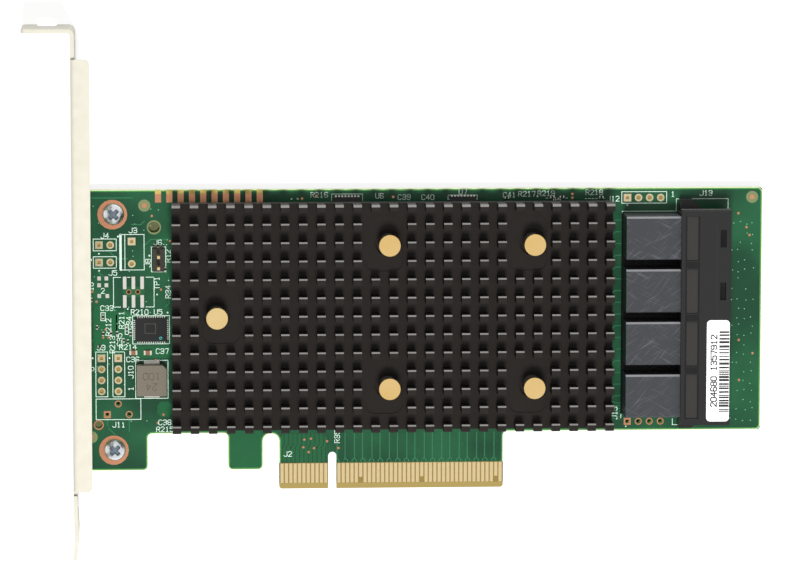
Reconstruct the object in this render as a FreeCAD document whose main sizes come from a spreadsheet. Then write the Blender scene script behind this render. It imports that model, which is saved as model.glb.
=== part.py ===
import FreeCAD, Part
import math
import operator
import os
from types import SimpleNamespace

import Sketcher

# Host bus adapter: a low-profile PCI Express card on a full-height bracket.
# X runs along the card from the bracket's outer face, Y up the card from the tip of the
# card edge, Z out of the component side. The board's component face is Z = 0. Sizes in mm.

sizes = {
    # circuit board
    "boardLeft": 1.5,
    "boardLength": 155.65,
    "boardHeight": 68.9,
    "boardThickness": 1.57,
    "lowerEdge": 13.0,
    "lobeBottom": 4.55,
    "lobeRight": 16.71,
    "retainerLeft": 34.98,
    "retainerRight": 42.94,
    "slotTop": 12.8,
    "keyCentre": 58.8,
    "keyWidth": 1.9,
    "keyTop": 8.5,
    "outerCornerRadius": 0.7,
    "lobeCornerRadius": 1.3,
    "retainerCornerRadius": 1.7,
    "tongueCornerRadius": 0.7,
    "innerCornerRadius": 1.0,
    "bevelLength": 1.35,
    "bevelDepth": 0.45,
    "toolingHoleRadius": 1.35,
    "toolingHoleX": 18.36,
    "toolingHoleY": 60.36,
    "groundHoleRadius": 0.9,
    "groundHoleX": 5.55,
    "groundHoleY": 15.11,
    # card edge contacts
    "contactPitch": 1.0,
    "contactWidth": 0.7,
    "contactBottom": 1.37,
    "contactTop": 5.88,
    "shortContactBottom": 2.68,
    "contactThickness": 0.05,
    "contactEdgeGap": 0.65,
    "keyToContact": 1.5,
    "contactsBeforeKey": 11,
    "contactsAfterKey": 38,
    # bracket
    "sheetThickness": 0.86,
    "bracketBottom": -13.8,
    "bracketHeight": 120.02,
    "bracketWidth": 18.42,
    "bracketFront": 14.35,
    "screwTabLength": 11.0,
    "screwTabCornerRadius": 1.5,
    "screwTabBendRadius": 1.5,
    "screwNotchX": 5.45,
    "screwNotchWidth": 4.42,
    "screwNotchDepth": 5.5,
    "flangeReach": 4.22,
    "flangeTopGap": 6.82,
    "flangeBottom": 2.0,
    "flangeBendRadius": 1.1,
    "flangeCornerRadius": 1.15,
    "reliefWidth": 0.9,
    "reliefDepth": 1.3,
    "tailFront": 12.8,
    "tailWidth": 10.19,
    "tailShoulderTop": 1.0,
    "tailShoulderBottom": -1.6,
    "tailBendStart": -3.0,
    "tailBendMiddle": -7.1,
    "tailBendEnd": -10.4,
    "tailInset": 0.22,
    "tailOutset": 0.25,
    "lugReach": 13.2,
    "lugWidth": 8.0,
    "lugCornerRadius": 2.0,
    "lugHoleRadius": 1.5,
    "lugWindowGap": 0.3,
    "ventAcrossFlats": 4.6,
    "ventPitch": 5.9,
    "ventRowPitch": 5.2,
    "ventBottom": 20.5,
    "ventFrontRow": 10.6,
    "ventUpperBottom": 73.5,
    # screws and their ring pads
    "ringX": 8.95,
    "ringUpperY": 63.3,
    "ringLowerY": 9.28,
    "ringRadius": 3.4,
    "screwHoleRadius": 1.85,
    "padThickness": 0.05,
    "screwX": 9.2,
    "screwUpperY": 63.42,
    "screwLowerY": 9.42,
    "screwHeadRadius": 2.55,
    "screwHeadHeight": 1.9,
    "screwHeadRounding": 0.6,
    "screwShankRadius": 1.42,
    "screwLength": 3.6,
    "recessReach": 1.45,
    "recessWidth": 0.8,
    "recessDepth": 1.1,
    # top edge test pads
    "testPadLeft": 18.64,
    "testPadWidth": 1.38,
    "testPadHeight": 2.9,
    "testPadPitch": 2.562,
    "testPadCount": 10,
    # plated header pads
    "headerPitch": 2.54,
    "padRadius": 0.87,
    "padHoleRadius": 0.45,
    "ledPadX": 5.88,
    "ledPadPitch": 2.55,
    "ledPadUpperY": 56.37,
    "ledPadLowerY": 52.4,
    "batteryPadX": 13.29,
    "batteryPadUpperY": 57.17,
    "batteryPadLowerY": 52.06,
    "serialPadX": 6.26,
    "serialPadTwoX": 10.08,
    "serialPadTopY": 30.45,
    "debugPadX": 126.2,
    "debugPadY": 66.62,
    "debugPadTwoX": 126.5,
    "debugPadTwoY": 15.05,
    "jackPadX": 7.51,
    "jackPadY": 17.5,
    "jackPadSpread": 4.97,
    "jackPadRise": 2.44,
    # tinned surface pads
    "sixPadX": 11.65,
    "sixPadPitch": 1.98,
    "sixPadUpperY": 47.7,
    "sixPadLowerY": 43.47,
    "sixPadWidth": 0.8,
    "sixPadHeight": 2.85,
    "pegHoleRadius": 0.5,
    "pegHoleX": 12.57,
    "pegHoleY": 45.62,
    "pegHolePitch": 2.06,
    # heat sink
    "sinkLeft": 22.35,
    "sinkBottom": 14.5,
    "sinkLength": 100.0,
    "sinkHeight": 51.8,
    "sinkSeat": 2.8,
    "sinkBase": 3.0,
    "pinHeight": 5.0,
    "pinLength": 1.9,
    "pinWidth": 1.7,
    "pinColumns": 25,
    "pinRows": 13,
    "landWidth": 8.6,
    "landHeight": 12.9,
    "landDepth": 0.3,
    "landCornerRadius": 2.2,
    # push pins and springs
    "leftPinX": 32.45,
    "middleRow": 40.9,
    "pinPairX": 71.35,
    "pinSpacingX": 32.8,
    "pinSpacingY": 32.6,
    "springSeatRadius": 3.05,
    "springSeatDepth": 1.2,
    "pushPinHole": 1.6,
    "pushPinShank": 1.35,
    "pushPinHead": 2.5,
    "pushPinHeadTop": 12.2,
    "pushPinHeadHeight": 1.1,
    "pushPinRim": 0.25,
    "barbRadius": 1.85,
    "barbTipRadius": 1.0,
    "barbClearance": 0.08,
    "barbLength": 1.9,
    "barbSlot": 0.5,
    "springRadius": 2.0,
    "springWire": 0.5,
    "springTurns": 3,
    "springSides": 8,
    # controller
    "controllerX": 87.75,
    "controllerSize": 29.0,
    "controllerThickness": 1.1,
    "lidSize": 22.0,
    "lidThickness": 1.2,
    "lidCorner": 1.0,
    # flash chips
    "flashX": 59.2,
    "flashTwoX": 85.6,
    "flashTop": 67.1,
    "flashLength": 6.0,
    "flashWidth": 5.0,
    "flashThickness": 0.8,
    # ganged connector
    "housingBack": 137.6,
    "housingFront": 148.85,
    "housingCentreY": 40.15,
    "portEndDistance": 6.54,
    "housingTop": 9.8,
    "roofThickness": 1.3,
    "roofSkirt": 2.6,
    "skirtInset": 0.9,
    "portPitch": 12.04,
    "portWidth": 9.9,
    "portBottom": 1.5,
    "portCount": 4,
    "roofRecessBack": 1.15,
    "roofRecessLength": 2.75,
    "roofRecessWidth": 10.1,
    "roofRecessDepth": 0.4,
    "latchBack": 8.8,
    "latchLength": 1.35,
    "latchWidth": 4.0,
    "earReach": 1.7,
    "earHeight": 3.0,
    "earLeft": 0.4,
    "earRight": 5.75,
    "earSlope": 2.5,
    "blockBack": 125.2,
    "blockWidth": 9.8,
    "blockTop": 8.5,
    "blockBevel": 0.35,
    "noseLength": 5.4,
    "noseClearance": 0.05,
    "cardSlotWidth": 8.2,
    "cardSlotHeight": 0.95,
    "cardSlotDepth": 4.6,
    "cardSlotPitch": 2.9,
    "portContactSpan": 7.2,
    "portContactThickness": 0.15,
    # barcode label
    "labelLeft": 143.46,
    "labelBottom": 16.4,
    "labelWidth": 5.2,
    "labelHeight": 23.2,
    "labelThickness": 0.1,
    "labelCornerRadius": 0.9,
    # power inductor
    "inductorX": 14.3,
    "inductorY": 22.05,
    "inductorWidth": 6.75,
    "inductorHeight": 7.05,
    "inductorTop": 3.0,
    "inductorCorner": 0.9,
    "terminalWidth": 3.5,
    "terminalReach": 0.65,
    "terminalUnder": 1.6,
    "terminalThickness": 0.2,
    # regulator
    "regulatorX": 14.0,
    "regulatorY": 34.3,
    "regulatorWidth": 7.2,
    "regulatorHeight": 5.3,
    "regulatorTop": 0.85,
    # two-way header
    "headerX": 19.38,
    "headerY": 54.32,
    "headerWidth": 2.6,
    "headerBodyTop": 2.5,
    "headerPostSize": 0.64,
    "headerPostTop": 7.6,
    "headerTail": 0.9,
    # chip parts
    "chipLength": 1.8,
    "chipWidth": 1.0,
    "chipThickness": 0.7,
    "chipCap": 0.4,
    "smallChipLength": 1.0,
    "smallChipWidth": 0.5,
    "smallChipThickness": 0.35,
    "smallChipCap": 0.25,
}

doc = FreeCAD.newDocument("host_bus_adapter")
sheet = doc.addObject("Spreadsheet::Sheet", "Sizes")
for row, (alias, number) in enumerate(sizes.items(), 1):
    sheet.set("A%d" % row, alias)
    sheet.set("B%d" % row, str(number))
    sheet.setAlias("B%d" % row, alias)
doc.recompute()

tiny = 1e-4
over = 1.0  # how far a cutting tool runs past the faces that it cuts


class Length:
    """A length in mm, kept with the sheet formula that gives it."""

    def __init__(self, value, formula):
        self.value = value
        self.formula = formula

    def __add__(self, other):
        return combine(self, other, "+", operator.add)

    def __radd__(self, other):
        return combine(other, self, "+", operator.add)

    def __sub__(self, other):
        return combine(self, other, "-", operator.sub)

    def __rsub__(self, other):
        return combine(other, self, "-", operator.sub)

    def __mul__(self, other):
        return combine(self, other, "*", operator.mul)

    def __rmul__(self, other):
        return combine(other, self, "*", operator.mul)

    def __truediv__(self, other):
        return combine(self, other, "/", operator.truediv)

    def __neg__(self):
        return combine(0, self, "-", operator.sub)


def asLength(size):
    if isinstance(size, Length):
        return size
    return Length(float(size), "(%r)" % float(size))


def wholeSteps(room, pitch):
    """How many whole steps of a pattern fit in a length."""
    return Length(math.floor(room.value / pitch.value), "floor(%s / %s)" % (room.formula, pitch.formula))


def combine(left, right, sign, rule):
    left, right = asLength(left), asLength(right)
    return Length(rule(left.value, right.value), "(%s %s %s)" % (left.formula, sign, right.formula))


mm = SimpleNamespace(**{alias: Length(float(number), "Sizes." + alias) for alias, number in sizes.items()})


# Tools for bodies, sketches and features

nodes = []


def newBody(label):
    body = doc.addObject("PartDesign::Body", label)
    body.Label = label
    nodes.append(body)
    return body


def originFeature(body, role):
    return [feature for feature in body.Origin.OriginFeatures if feature.Role == role][0]


def newSketch(body, level=0, plane="XY_Plane"):
    sketch = body.newObject("Sketcher::SketchObject", body.Name + "_sketch")
    sketch.AttachmentSupport = (originFeature(body, plane), "")
    sketch.MapMode = "FlatFace"
    sketch.setExpression("AttachmentOffset.Base.z", asLength(level).formula)
    return sketch


def constrain(sketch, joints, driven):
    """Join curve ends, and tie each driven constraint to its sheet formula."""
    constraints = [Sketcher.Constraint("Coincident", *joint) for joint in joints]
    for kind, size, place in driven:
        constraints.append(Sketcher.Constraint(kind, *place, asLength(size).value))
    numbers = sketch.addConstraint(constraints)
    for number, (kind, size, place) in zip(numbers[len(joints):], driven):
        sketch.setExpression("Constraints[%d]" % number, asLength(size).formula)


def pointAt(curve, point, x, y):
    return [("DistanceX", x, (curve, point)), ("DistanceY", y, (curve, point))]


def flatVector(x, y):
    return FreeCAD.Vector(asLength(x).value, asLength(y).value, 0)


def polygon(sketch, corners):
    flat = [flatVector(x, y) for x, y in corners]
    lines = [Part.LineSegment(start, end) for start, end in zip(flat, flat[1:] + flat[:1])]
    first = sketch.addGeometry(lines)[0]
    joints, driven = [], []
    for step, (x, y) in enumerate(corners):
        joints.append((first + step, 2, first + (step + 1) % len(lines), 1))
        driven += pointAt(first + step, 1, x, y)
    constrain(sketch, joints, driven)


def rectangle(sketch, left, bottom, width, height):
    polygon(sketch, [
        (left, bottom),
        (left + width, bottom),
        (left + width, bottom + height),
        (left, bottom + height),
    ])


def roundedRectangle(sketch, left, bottom, width, height, radius):
    right, top = left + width, bottom + height
    path = [
        (left + radius, bottom), (right - radius, bottom),
        (right, bottom + radius), (right, top - radius),
        (right - radius, top), (left + radius, top),
        (left, top - radius), (left, bottom + radius),
    ]
    centres = [
        (right - radius, bottom + radius), (right - radius, top - radius),
        (left + radius, top - radius), (left + radius, bottom + radius),
    ]
    points = [flatVector(x, y) for x, y in path]
    pieces = []
    for side, centre in enumerate(centres):
        pieces.append(Part.LineSegment(points[2 * side], points[2 * side + 1]))
        turn = Part.Circle(flatVector(*centre), FreeCAD.Vector(0, 0, 1), radius.value)
        pieces.append(Part.ArcOfCircle(turn, (side - 1) * math.pi / 2, side * math.pi / 2))
    first = sketch.addGeometry(pieces)[0]
    joints, driven = [], []
    for side in range(4):
        line, arc, following = first + 2 * side, first + 2 * side + 1, first + (2 * side + 2) % 8
        joints += [(line, 2, arc, 1), (arc, 2, following, 1)]
        driven += pointAt(line, 1, *path[2 * side]) + pointAt(line, 2, *path[2 * side + 1])
        driven.append(("DistanceX", centres[side][0], (arc, 3)))
    constrain(sketch, joints, driven)


def archway(sketch, centre, bottom, top, width):
    """A slot open at the bottom with a full round at its top."""
    left, right, spring = centre - width / 2, centre + width / 2, top - width / 2
    path = [(left, spring), (left, bottom), (right, bottom), (right, spring)]
    points = [flatVector(x, y) for x, y in path]
    lines = [Part.LineSegment(start, end) for start, end in zip(points, points[1:])]
    ring = Part.Circle(flatVector(centre, spring), FreeCAD.Vector(0, 0, 1), asLength(width).value / 2)
    first = sketch.addGeometry(lines + [Part.ArcOfCircle(ring, 0, math.pi)])[0]
    joints = [
        (first, 2, first + 1, 1),
        (first + 1, 2, first + 2, 1),
        (first + 2, 2, first + 3, 1),
        (first + 3, 2, first, 1),
    ]
    driven = pointAt(first, 1, *path[0]) + pointAt(first + 1, 1, *path[1])
    driven += pointAt(first + 2, 1, *path[2]) + pointAt(first + 2, 2, *path[3])
    driven.append(("DistanceY", spring, (first + 3, 3)))
    constrain(sketch, joints, driven)


def extrude(body, kind, sketch, length, towardsNormal, refine=True):
    feature = body.newObject("PartDesign::" + kind, body.Name + "_" + kind.lower())
    feature.Profile = sketch
    feature.setExpression("Length", asLength(length).formula)
    feature.Reversed = towardsNormal != (kind == "Pad")
    feature.Refine = refine
    body.Tip = feature
    return feature


def pad(body, sketch, length, towardsNormal=True):
    return extrude(body, "Pad", sketch, length, towardsNormal)


def pocket(body, sketch, length, towardsNormal=False, refine=True):
    """Cut a pocket and make sure that it took something away."""
    before = body.Tip
    doc.recompute()
    feature = extrude(body, "Pocket", sketch, length, towardsNormal, refine)
    doc.recompute()
    if feature.Shape.Volume > before.Shape.Volume - tiny:
        raise ValueError("%s: a pocket cuts nothing" % body.Label)
    return feature


def prisms(places, radius, sides, bottom, height):
    """Upright prisms that stand for a round shape which repeats often."""
    made = []
    for x, y in places:
        prism = doc.addObject("Part::Prism", "Prism")
        prism.Polygon = sides
        prism.setExpression("Circumradius", asLength(radius).formula)
        prism.setExpression("Height", asLength(height).formula)
        for axis, place in (("x", x), ("y", y), ("z", bottom)):
            prism.setExpression("Placement.Base." + axis, asLength(place).formula)
        made.append(prism)
    return made


def bores(places, radius, sides, bottom, top):
    """Prisms that cut straight holes, running past both ends of the material."""
    return prisms(places, radius, sides, bottom - over, top - bottom + 2 * over)


def boxes(rectangles, bottom, height):
    made = []
    for left, low, width, depth in rectangles:
        box = doc.addObject("Part::Box", "Box")
        for side, size in (("Length", width), ("Width", depth), ("Height", height)):
            box.setExpression(side, asLength(size).formula)
        for axis, place in (("x", left), ("y", low), ("z", bottom)):
            box.setExpression("Placement.Base." + axis, asLength(place).formula)
        made.append(box)
    return made


def group(name, members):
    compound = doc.addObject("Part::Compound", name)
    compound.Links = members
    return compound


def cutNode(label, blank, tools):
    """A node that is its blank less all the tools, taken away in one cut."""
    node = doc.addObject("Part::Cut", label)
    node.Label = label
    node.Base = blank
    node.Tool = group(label + "_tools", tools)
    node.Refine = False
    if blank in nodes:
        nodes.remove(blank)
    nodes.append(node)
    doc.recompute()
    if node.Shape.Volume > blank.Shape.Volume - tiny:
        raise ValueError("%s: the tools cut nothing" % label)
    return node


def linearPattern(body, feature, axis, pitch, count):
    pattern = body.newObject("PartDesign::LinearPattern", body.Name + "_pattern")
    pattern.Originals = [feature]
    pattern.Direction = (originFeature(body, axis), [""])
    pattern.Mode = "Spacing"
    pattern.setExpression("Offset", asLength(pitch).formula)
    pattern.setExpression("Occurrences", asLength(count).formula)
    body.Tip = pattern
    return pattern


def straightEdges(feature, along, places, span=None):
    """Names of the edges parallel to one axis that run through the given places of the other two."""
    doc.recompute()
    across = [axis for axis in range(3) if axis != along]
    targets = [(asLength(p).value, asLength(q).value) for p, q in places]
    names = []
    for number, edge in enumerate(feature.Shape.Edges, 1):
        if len(edge.Vertexes) != 2:
            continue
        start, end = edge.Vertexes[0].Point, edge.Vertexes[1].Point
        if any(abs(start[axis] - end[axis]) > tiny for axis in across):
            continue
        middle = (start[along] + end[along]) / 2
        if span and not asLength(span[0]).value < middle < asLength(span[1]).value:
            continue
        if any(math.hypot(start[across[0]] - p, start[across[1]] - q) < tiny for p, q in targets):
            names.append("Edge%d" % number)
    return names


def levelEdges(feature, level):
    """Numbers of all the edges that lie at one height."""
    height = asLength(level).value
    numbers = []
    for number, edge in enumerate(feature.Shape.Edges, 1):
        if all(abs(vertex.Z - height) < tiny for vertex in edge.Vertexes):
            numbers.append(number)
    return numbers


def dressUp(body, kind, feature, names, size):
    """Fillet or chamfer the named edges of a feature."""
    if not names:
        raise ValueError("%s: no edge found for a %s" % (body.Label, kind))
    dressed = body.newObject("PartDesign::" + kind, body.Name + "_" + kind.lower())
    dressed.Base = (feature, names)
    dressed.setExpression("Radius" if kind == "Fillet" else "Size", asLength(size).formula)
    body.Tip = dressed
    return dressed


def fillet(body, feature, names, radius):
    return dressUp(body, "Fillet", feature, names, radius)


def chamfer(body, feature, names, size):
    return dressUp(body, "Chamfer", feature, names, size)


def plates(label, bottom, thickness, rectangles):
    """A body of flat rectangular pieces that stand at one level."""
    body = newBody(label)
    sketch = newSketch(body, bottom)
    for left, low, width, height in rectangles:
        rectangle(sketch, left, low, width, height)
    pad(body, sketch, thickness)
    return body


# Places that several pieces share

boardRight = mm.boardLeft + mm.boardLength
boardBack = -mm.boardThickness
firstContact = mm.keyCentre - mm.keyToContact - (mm.contactsBeforeKey - 1) * mm.contactPitch
firstContactAfterKey = mm.keyCentre + mm.keyToContact
lastContact = firstContactAfterKey + (mm.contactsAfterKey - 1) * mm.contactPitch
tongueLeft = firstContact - mm.contactEdgeGap
tongueRight = lastContact + mm.contactEdgeGap
bracketBack = mm.bracketFront - mm.bracketWidth
bracketTop = mm.bracketBottom + mm.bracketHeight
flangeTop = bracketTop - mm.flangeTopGap
upperVents = wholeSteps(flangeTop - mm.ventUpperBottom - mm.ventPitch / 2, mm.ventPitch) + 1
housingHeight = mm.portPitch * (sizes["portCount"] - 1) + 2 * mm.portEndDistance
lugBack = boardBack - mm.sheetThickness
pinPitchX = (mm.sinkLength - mm.pinLength) / (mm.pinColumns - 1)
pinPitchY = (mm.sinkHeight - mm.pinWidth) / (mm.pinRows - 1)
sinkFloor = mm.sinkSeat + mm.sinkBase
springSeat = sinkFloor - mm.springSeatDepth
pinTop = sinkFloor + mm.pinHeight
pushPinHeadBottom = mm.pushPinHeadTop - mm.pushPinHeadHeight
lowerRow = mm.middleRow - mm.pinSpacingY / 2
upperRow = mm.middleRow + mm.pinSpacingY / 2
pinFarX = mm.pinPairX + mm.pinSpacingX
pushPinPlaces = [
    (mm.leftPinX, mm.middleRow),
    (mm.pinPairX, upperRow),
    (pinFarX, upperRow),
    (mm.pinPairX, lowerRow),
    (pinFarX, lowerRow),
]
landColumns = [(3, mm.middleRow), (12, upperRow), (20, upperRow), (12, lowerRow), (20, lowerRow)]
screwPlaces = [(mm.screwX, mm.screwUpperY), (mm.screwX, mm.screwLowerY)]
ringPlaces = [(mm.ringX, mm.ringUpperY), (mm.ringX, mm.ringLowerY)]
portCentres = [
    mm.housingCentreY + mm.portPitch * (port - (sizes["portCount"] - 1) / 2)
    for port in range(sizes["portCount"])
]
headerRows = [step * mm.headerPitch for step in range(4)]
squarePads = [
    (mm.ledPadX, mm.ledPadUpperY),
    (mm.ledPadX, mm.ledPadLowerY),
    (mm.batteryPadX, mm.batteryPadUpperY),
    (mm.serialPadX, mm.serialPadTopY),
    (mm.serialPadTwoX, mm.serialPadTopY),
    (mm.debugPadX, mm.debugPadY),
    (mm.debugPadTwoX, mm.debugPadTwoY),
    (mm.jackPadX, mm.jackPadY),
]
roundPads = [
    (mm.ledPadX + mm.ledPadPitch, mm.ledPadUpperY),
    (mm.ledPadX + mm.ledPadPitch, mm.ledPadLowerY),
    (mm.batteryPadX, mm.batteryPadLowerY),
    (mm.jackPadX + mm.jackPadSpread, mm.jackPadY),
    (mm.jackPadX + mm.jackPadSpread / 2, mm.jackPadY + mm.jackPadRise),
]
for rise in headerRows[1:]:
    roundPads.append((mm.serialPadX, mm.serialPadTopY - rise))
    roundPads.append((mm.serialPadTwoX, mm.serialPadTopY - rise))
    roundPads.append((mm.debugPadX + rise, mm.debugPadY))
    roundPads.append((mm.debugPadTwoX + rise, mm.debugPadTwoY))
headerPostPlaces = [(mm.headerX, mm.headerY), (mm.headerX, mm.headerY - mm.headerPitch)]


def makeBoard():
    body = newBody("circuit_board_blank")
    outline = newSketch(body)
    corners = [
        (mm.boardLeft, mm.lobeBottom),
        (mm.lobeRight, mm.lobeBottom),
        (mm.lobeRight, mm.lowerEdge),
        (mm.retainerLeft, mm.lowerEdge),
        (mm.retainerLeft, mm.lobeBottom),
        (mm.retainerRight, mm.lobeBottom),
        (mm.retainerRight, mm.lowerEdge),
        (tongueLeft, mm.lowerEdge),
        (tongueLeft, 0),
        (tongueRight, 0),
        (tongueRight, mm.lowerEdge),
        (boardRight, mm.lowerEdge),
        (boardRight, mm.boardHeight),
        (mm.boardLeft, mm.boardHeight),
    ]
    polygon(outline, corners)
    slab = pad(body, outline, mm.boardThickness, towardsNormal=False)

    # the slot beside the card edge ends in a full round, and so does the key notch
    slotWidth = tongueLeft - mm.retainerRight
    slabRounded = fillet(body, slab, straightEdges(slab, 2, corners[1:2]), mm.lobeCornerRadius)
    for places, radius in (
        (corners[4:6], mm.retainerCornerRadius),
        (corners[2:4] + corners[10:11], mm.innerCornerRadius),
        (corners[6:8], slotWidth * 0.49),
        (corners[8:10], mm.tongueCornerRadius),
        (corners[11:14], mm.outerCornerRadius),
    ):
        slabRounded = fillet(body, slabRounded, straightEdges(slabRounded, 2, places), radius)
    key = newSketch(body)
    archway(key, mm.keyCentre, -asLength(over), mm.keyTop, mm.keyWidth)
    pocket(body, key, mm.boardThickness)

    # both faces of the card edge are bevelled
    bevels = newSketch(body, tongueLeft - over, "YZ_Plane")
    for face, side in ((asLength(0), 1), (boardBack, -1)):
        polygon(bevels, [
            (mm.bevelLength, face),
            (asLength(0), face - side * mm.bevelDepth),
            (-asLength(over), face - side * mm.bevelDepth),
            (-asLength(over), face + side * over),
            (mm.bevelLength, face + side * over),
        ])
    pocket(body, bevels, tongueRight - tongueLeft + 2 * over, towardsNormal=True)

    pegs = [(mm.pegHoleX + step * mm.pegHolePitch, mm.pegHoleY) for step in (0, 1)]
    tools = boxes(
        [
            (x - mm.headerPostSize / 2, y - mm.headerPostSize / 2, mm.headerPostSize, mm.headerPostSize)
            for x, y in headerPostPlaces
        ],
        boardBack - over, mm.boardThickness + 2 * over,
    )
    for places, radius, sides in (
        (ringPlaces, mm.screwHoleRadius, 16),
        (pushPinPlaces, mm.pushPinHole, 16),
        ([(mm.toolingHoleX, mm.toolingHoleY)], mm.toolingHoleRadius, 16),
        ([(mm.groundHoleX, mm.groundHoleY)], mm.groundHoleRadius, 12),
        (squarePads + roundPads, mm.padHoleRadius, 6),
        (pegs, mm.pegHoleRadius, 6),
    ):
        tools += bores(places, radius, sides, boardBack, asLength(0))
    cutNode("circuit_board", body, tools)


def makeEdgeContacts():
    """Contacts of both faces: the short presence contacts start higher up the card edge."""
    for label, level, shortContacts in (
        ("front_edge_contacts", asLength(0), (17, 31, 48)),
        ("back_edge_contacts", boardBack - mm.contactThickness, (1,)),
    ):
        body = newBody(label)
        height = mm.contactTop - mm.contactBottom
        for first, count in (
            (firstContact, mm.contactsBeforeKey),
            (firstContactAfterKey, mm.contactsAfterKey),
        ):
            strip = newSketch(body, level)
            rectangle(strip, first - mm.contactWidth / 2, mm.contactBottom, mm.contactWidth, height)
            contact = pad(body, strip, mm.contactThickness)
            linearPattern(body, contact, "X_Axis", mm.contactPitch, count)
        trim = newSketch(body, level)
        for number in shortContacts:
            if number > sizes["contactsBeforeKey"]:
                centre = firstContactAfterKey + (number - 1 - mm.contactsBeforeKey) * mm.contactPitch
            else:
                centre = firstContact + (number - 1) * mm.contactPitch
            cutHeight = mm.shortContactBottom - mm.contactBottom
            left = centre - mm.contactPitch / 2
            rectangle(trim, left, mm.contactBottom - 0.1, mm.contactPitch, cutHeight + 0.1)
        pocket(body, trim, mm.contactThickness, towardsNormal=True)


def makeBracket():
    body = newBody("bracket_blank")
    sheet = mm.sheetThickness
    profile = newSketch(body, bracketBack)
    outerFace = [
        (asLength(0), mm.tailBendStart),
        (mm.tailInset, mm.tailBendMiddle),
        (mm.tailInset / 2, mm.tailBendEnd),
        (-mm.tailOutset, mm.bracketBottom),
    ]
    polygon(profile, [
        (-mm.screwTabLength, bracketTop),
        (-mm.screwTabLength, bracketTop - sheet),
        (asLength(0), bracketTop - sheet),
        *outerFace,
        *[(x + sheet, y) for x, y in reversed(outerFace)],
        (sheet, bracketTop),
    ])
    plate = pad(body, profile, mm.bracketWidth)
    plate = fillet(body, plate, straightEdges(plate, 2, [(sheet, bracketTop)]), mm.screwTabBendRadius)
    insideBend = straightEdges(plate, 2, [(0, bracketTop - sheet)])
    plate = fillet(body, plate, insideBend, mm.screwTabBendRadius - sheet)
    tabEnds = [(-mm.screwTabLength, bracketBack), (-mm.screwTabLength, mm.bracketFront)]
    plate = fillet(body, plate, straightEdges(plate, 1, tabEnds), mm.screwTabCornerRadius)

    # the screw notch opens at the tab's back edge
    notch = newSketch(body, over - bracketTop, "XZ_Plane")
    notchTop = bracketBack + mm.screwNotchDepth
    archway(notch, -mm.screwNotchX, bracketBack - over, notchTop, mm.screwNotchWidth)
    pocket(body, notch, sheet + 2 * over, towardsNormal=False)

    # the tail is narrower than the plate, with sloping shoulders
    shoulders = newSketch(body, -mm.tailOutset - over, "YZ_Plane")
    for tailSide, plateSide, away in (
        (mm.tailFront - mm.tailWidth, bracketBack, -over),
        (mm.tailFront, mm.bracketFront, over),
    ):
        polygon(shoulders, [
            (mm.bracketBottom - over, tailSide),
            (mm.tailShoulderBottom, tailSide),
            (mm.tailShoulderTop, plateSide),
            (mm.tailShoulderTop, plateSide + away),
            (mm.bracketBottom - over, plateSide + away),
        ])
    pocket(body, shoulders, sheet + mm.tailInset + mm.tailOutset + 2 * over, towardsNormal=True)

    # a return flange stiffens the front edge, with a relief notch at each end of its bend
    flange = newSketch(body, mm.bracketFront)
    rectangle(flange, asLength(0), mm.flangeBottom, mm.flangeReach, flangeTop - mm.flangeBottom)
    rim = pad(body, flange, sheet, towardsNormal=False)
    rimCorners = [(mm.flangeReach, mm.flangeBottom), (mm.flangeReach, flangeTop)]
    rim = fillet(body, rim, straightEdges(rim, 2, rimCorners), mm.flangeCornerRadius)
    relief = newSketch(body, mm.bracketFront)
    for bottom in (flangeTop, mm.flangeBottom - mm.reliefWidth):
        rectangle(relief, -asLength(over), bottom, sheet + 2 * over, mm.reliefWidth)
    rim = pocket(body, relief, mm.reliefDepth)
    bend = straightEdges(rim, 1, [(0, mm.bracketFront)], span=(mm.flangeBottom, flangeTop))
    fillet(body, rim, bend, mm.flangeBendRadius)

    # two lugs, bent out of windows in the plate, lie against the board's back
    lugs = newSketch(body, lugBack)
    lugCorners = []
    for x, y in screwPlaces:
        bottom = y - mm.lugWidth / 2
        rectangle(lugs, asLength(0), bottom, mm.lugReach, mm.lugWidth)
        lugCorners += [(mm.lugReach, bottom), (mm.lugReach, bottom + mm.lugWidth)]
    lugPads = pad(body, lugs, sheet)
    span = (lugBack - over, boardBack + over)
    fillet(body, lugPads, straightEdges(lugPads, 2, lugCorners, span), mm.lugCornerRadius)
    windows = newSketch(body, -asLength(over), "YZ_Plane")
    windowWidth = mm.lugWidth + 2 * mm.lugWindowGap
    for x, y in screwPlaces:
        rectangle(windows, y - windowWidth / 2, boardBack, windowWidth, mm.lugReach - sheet)
    pocket(body, windows, sheet + 2 * over, towardsNormal=True)

    # vents in two staggered rows, below and above the upper lug window
    flats = mm.ventAcrossFlats
    point = flats * (1 / math.sqrt(3))
    for bottom, count in ((mm.ventBottom, 6), (mm.ventUpperBottom, upperVents)):
        for step in (0, 1):
            vent = newSketch(body, -asLength(over), "YZ_Plane")
            y = bottom + step * mm.ventPitch / 2
            z = mm.ventFrontRow - step * mm.ventRowPitch
            polygon(vent, [
                (y + point * math.cos(math.radians(60 * turn + 90)), z + point * math.sin(math.radians(60 * turn + 90)))
                for turn in range(6)
            ])
            hole = pocket(body, vent, sheet + 2 * over, towardsNormal=True)
            linearPattern(body, hole, "Y_Axis", mm.ventPitch, count)
    cutNode("bracket", body, bores(screwPlaces, mm.lugHoleRadius, 12, lugBack, boardBack))


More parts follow.
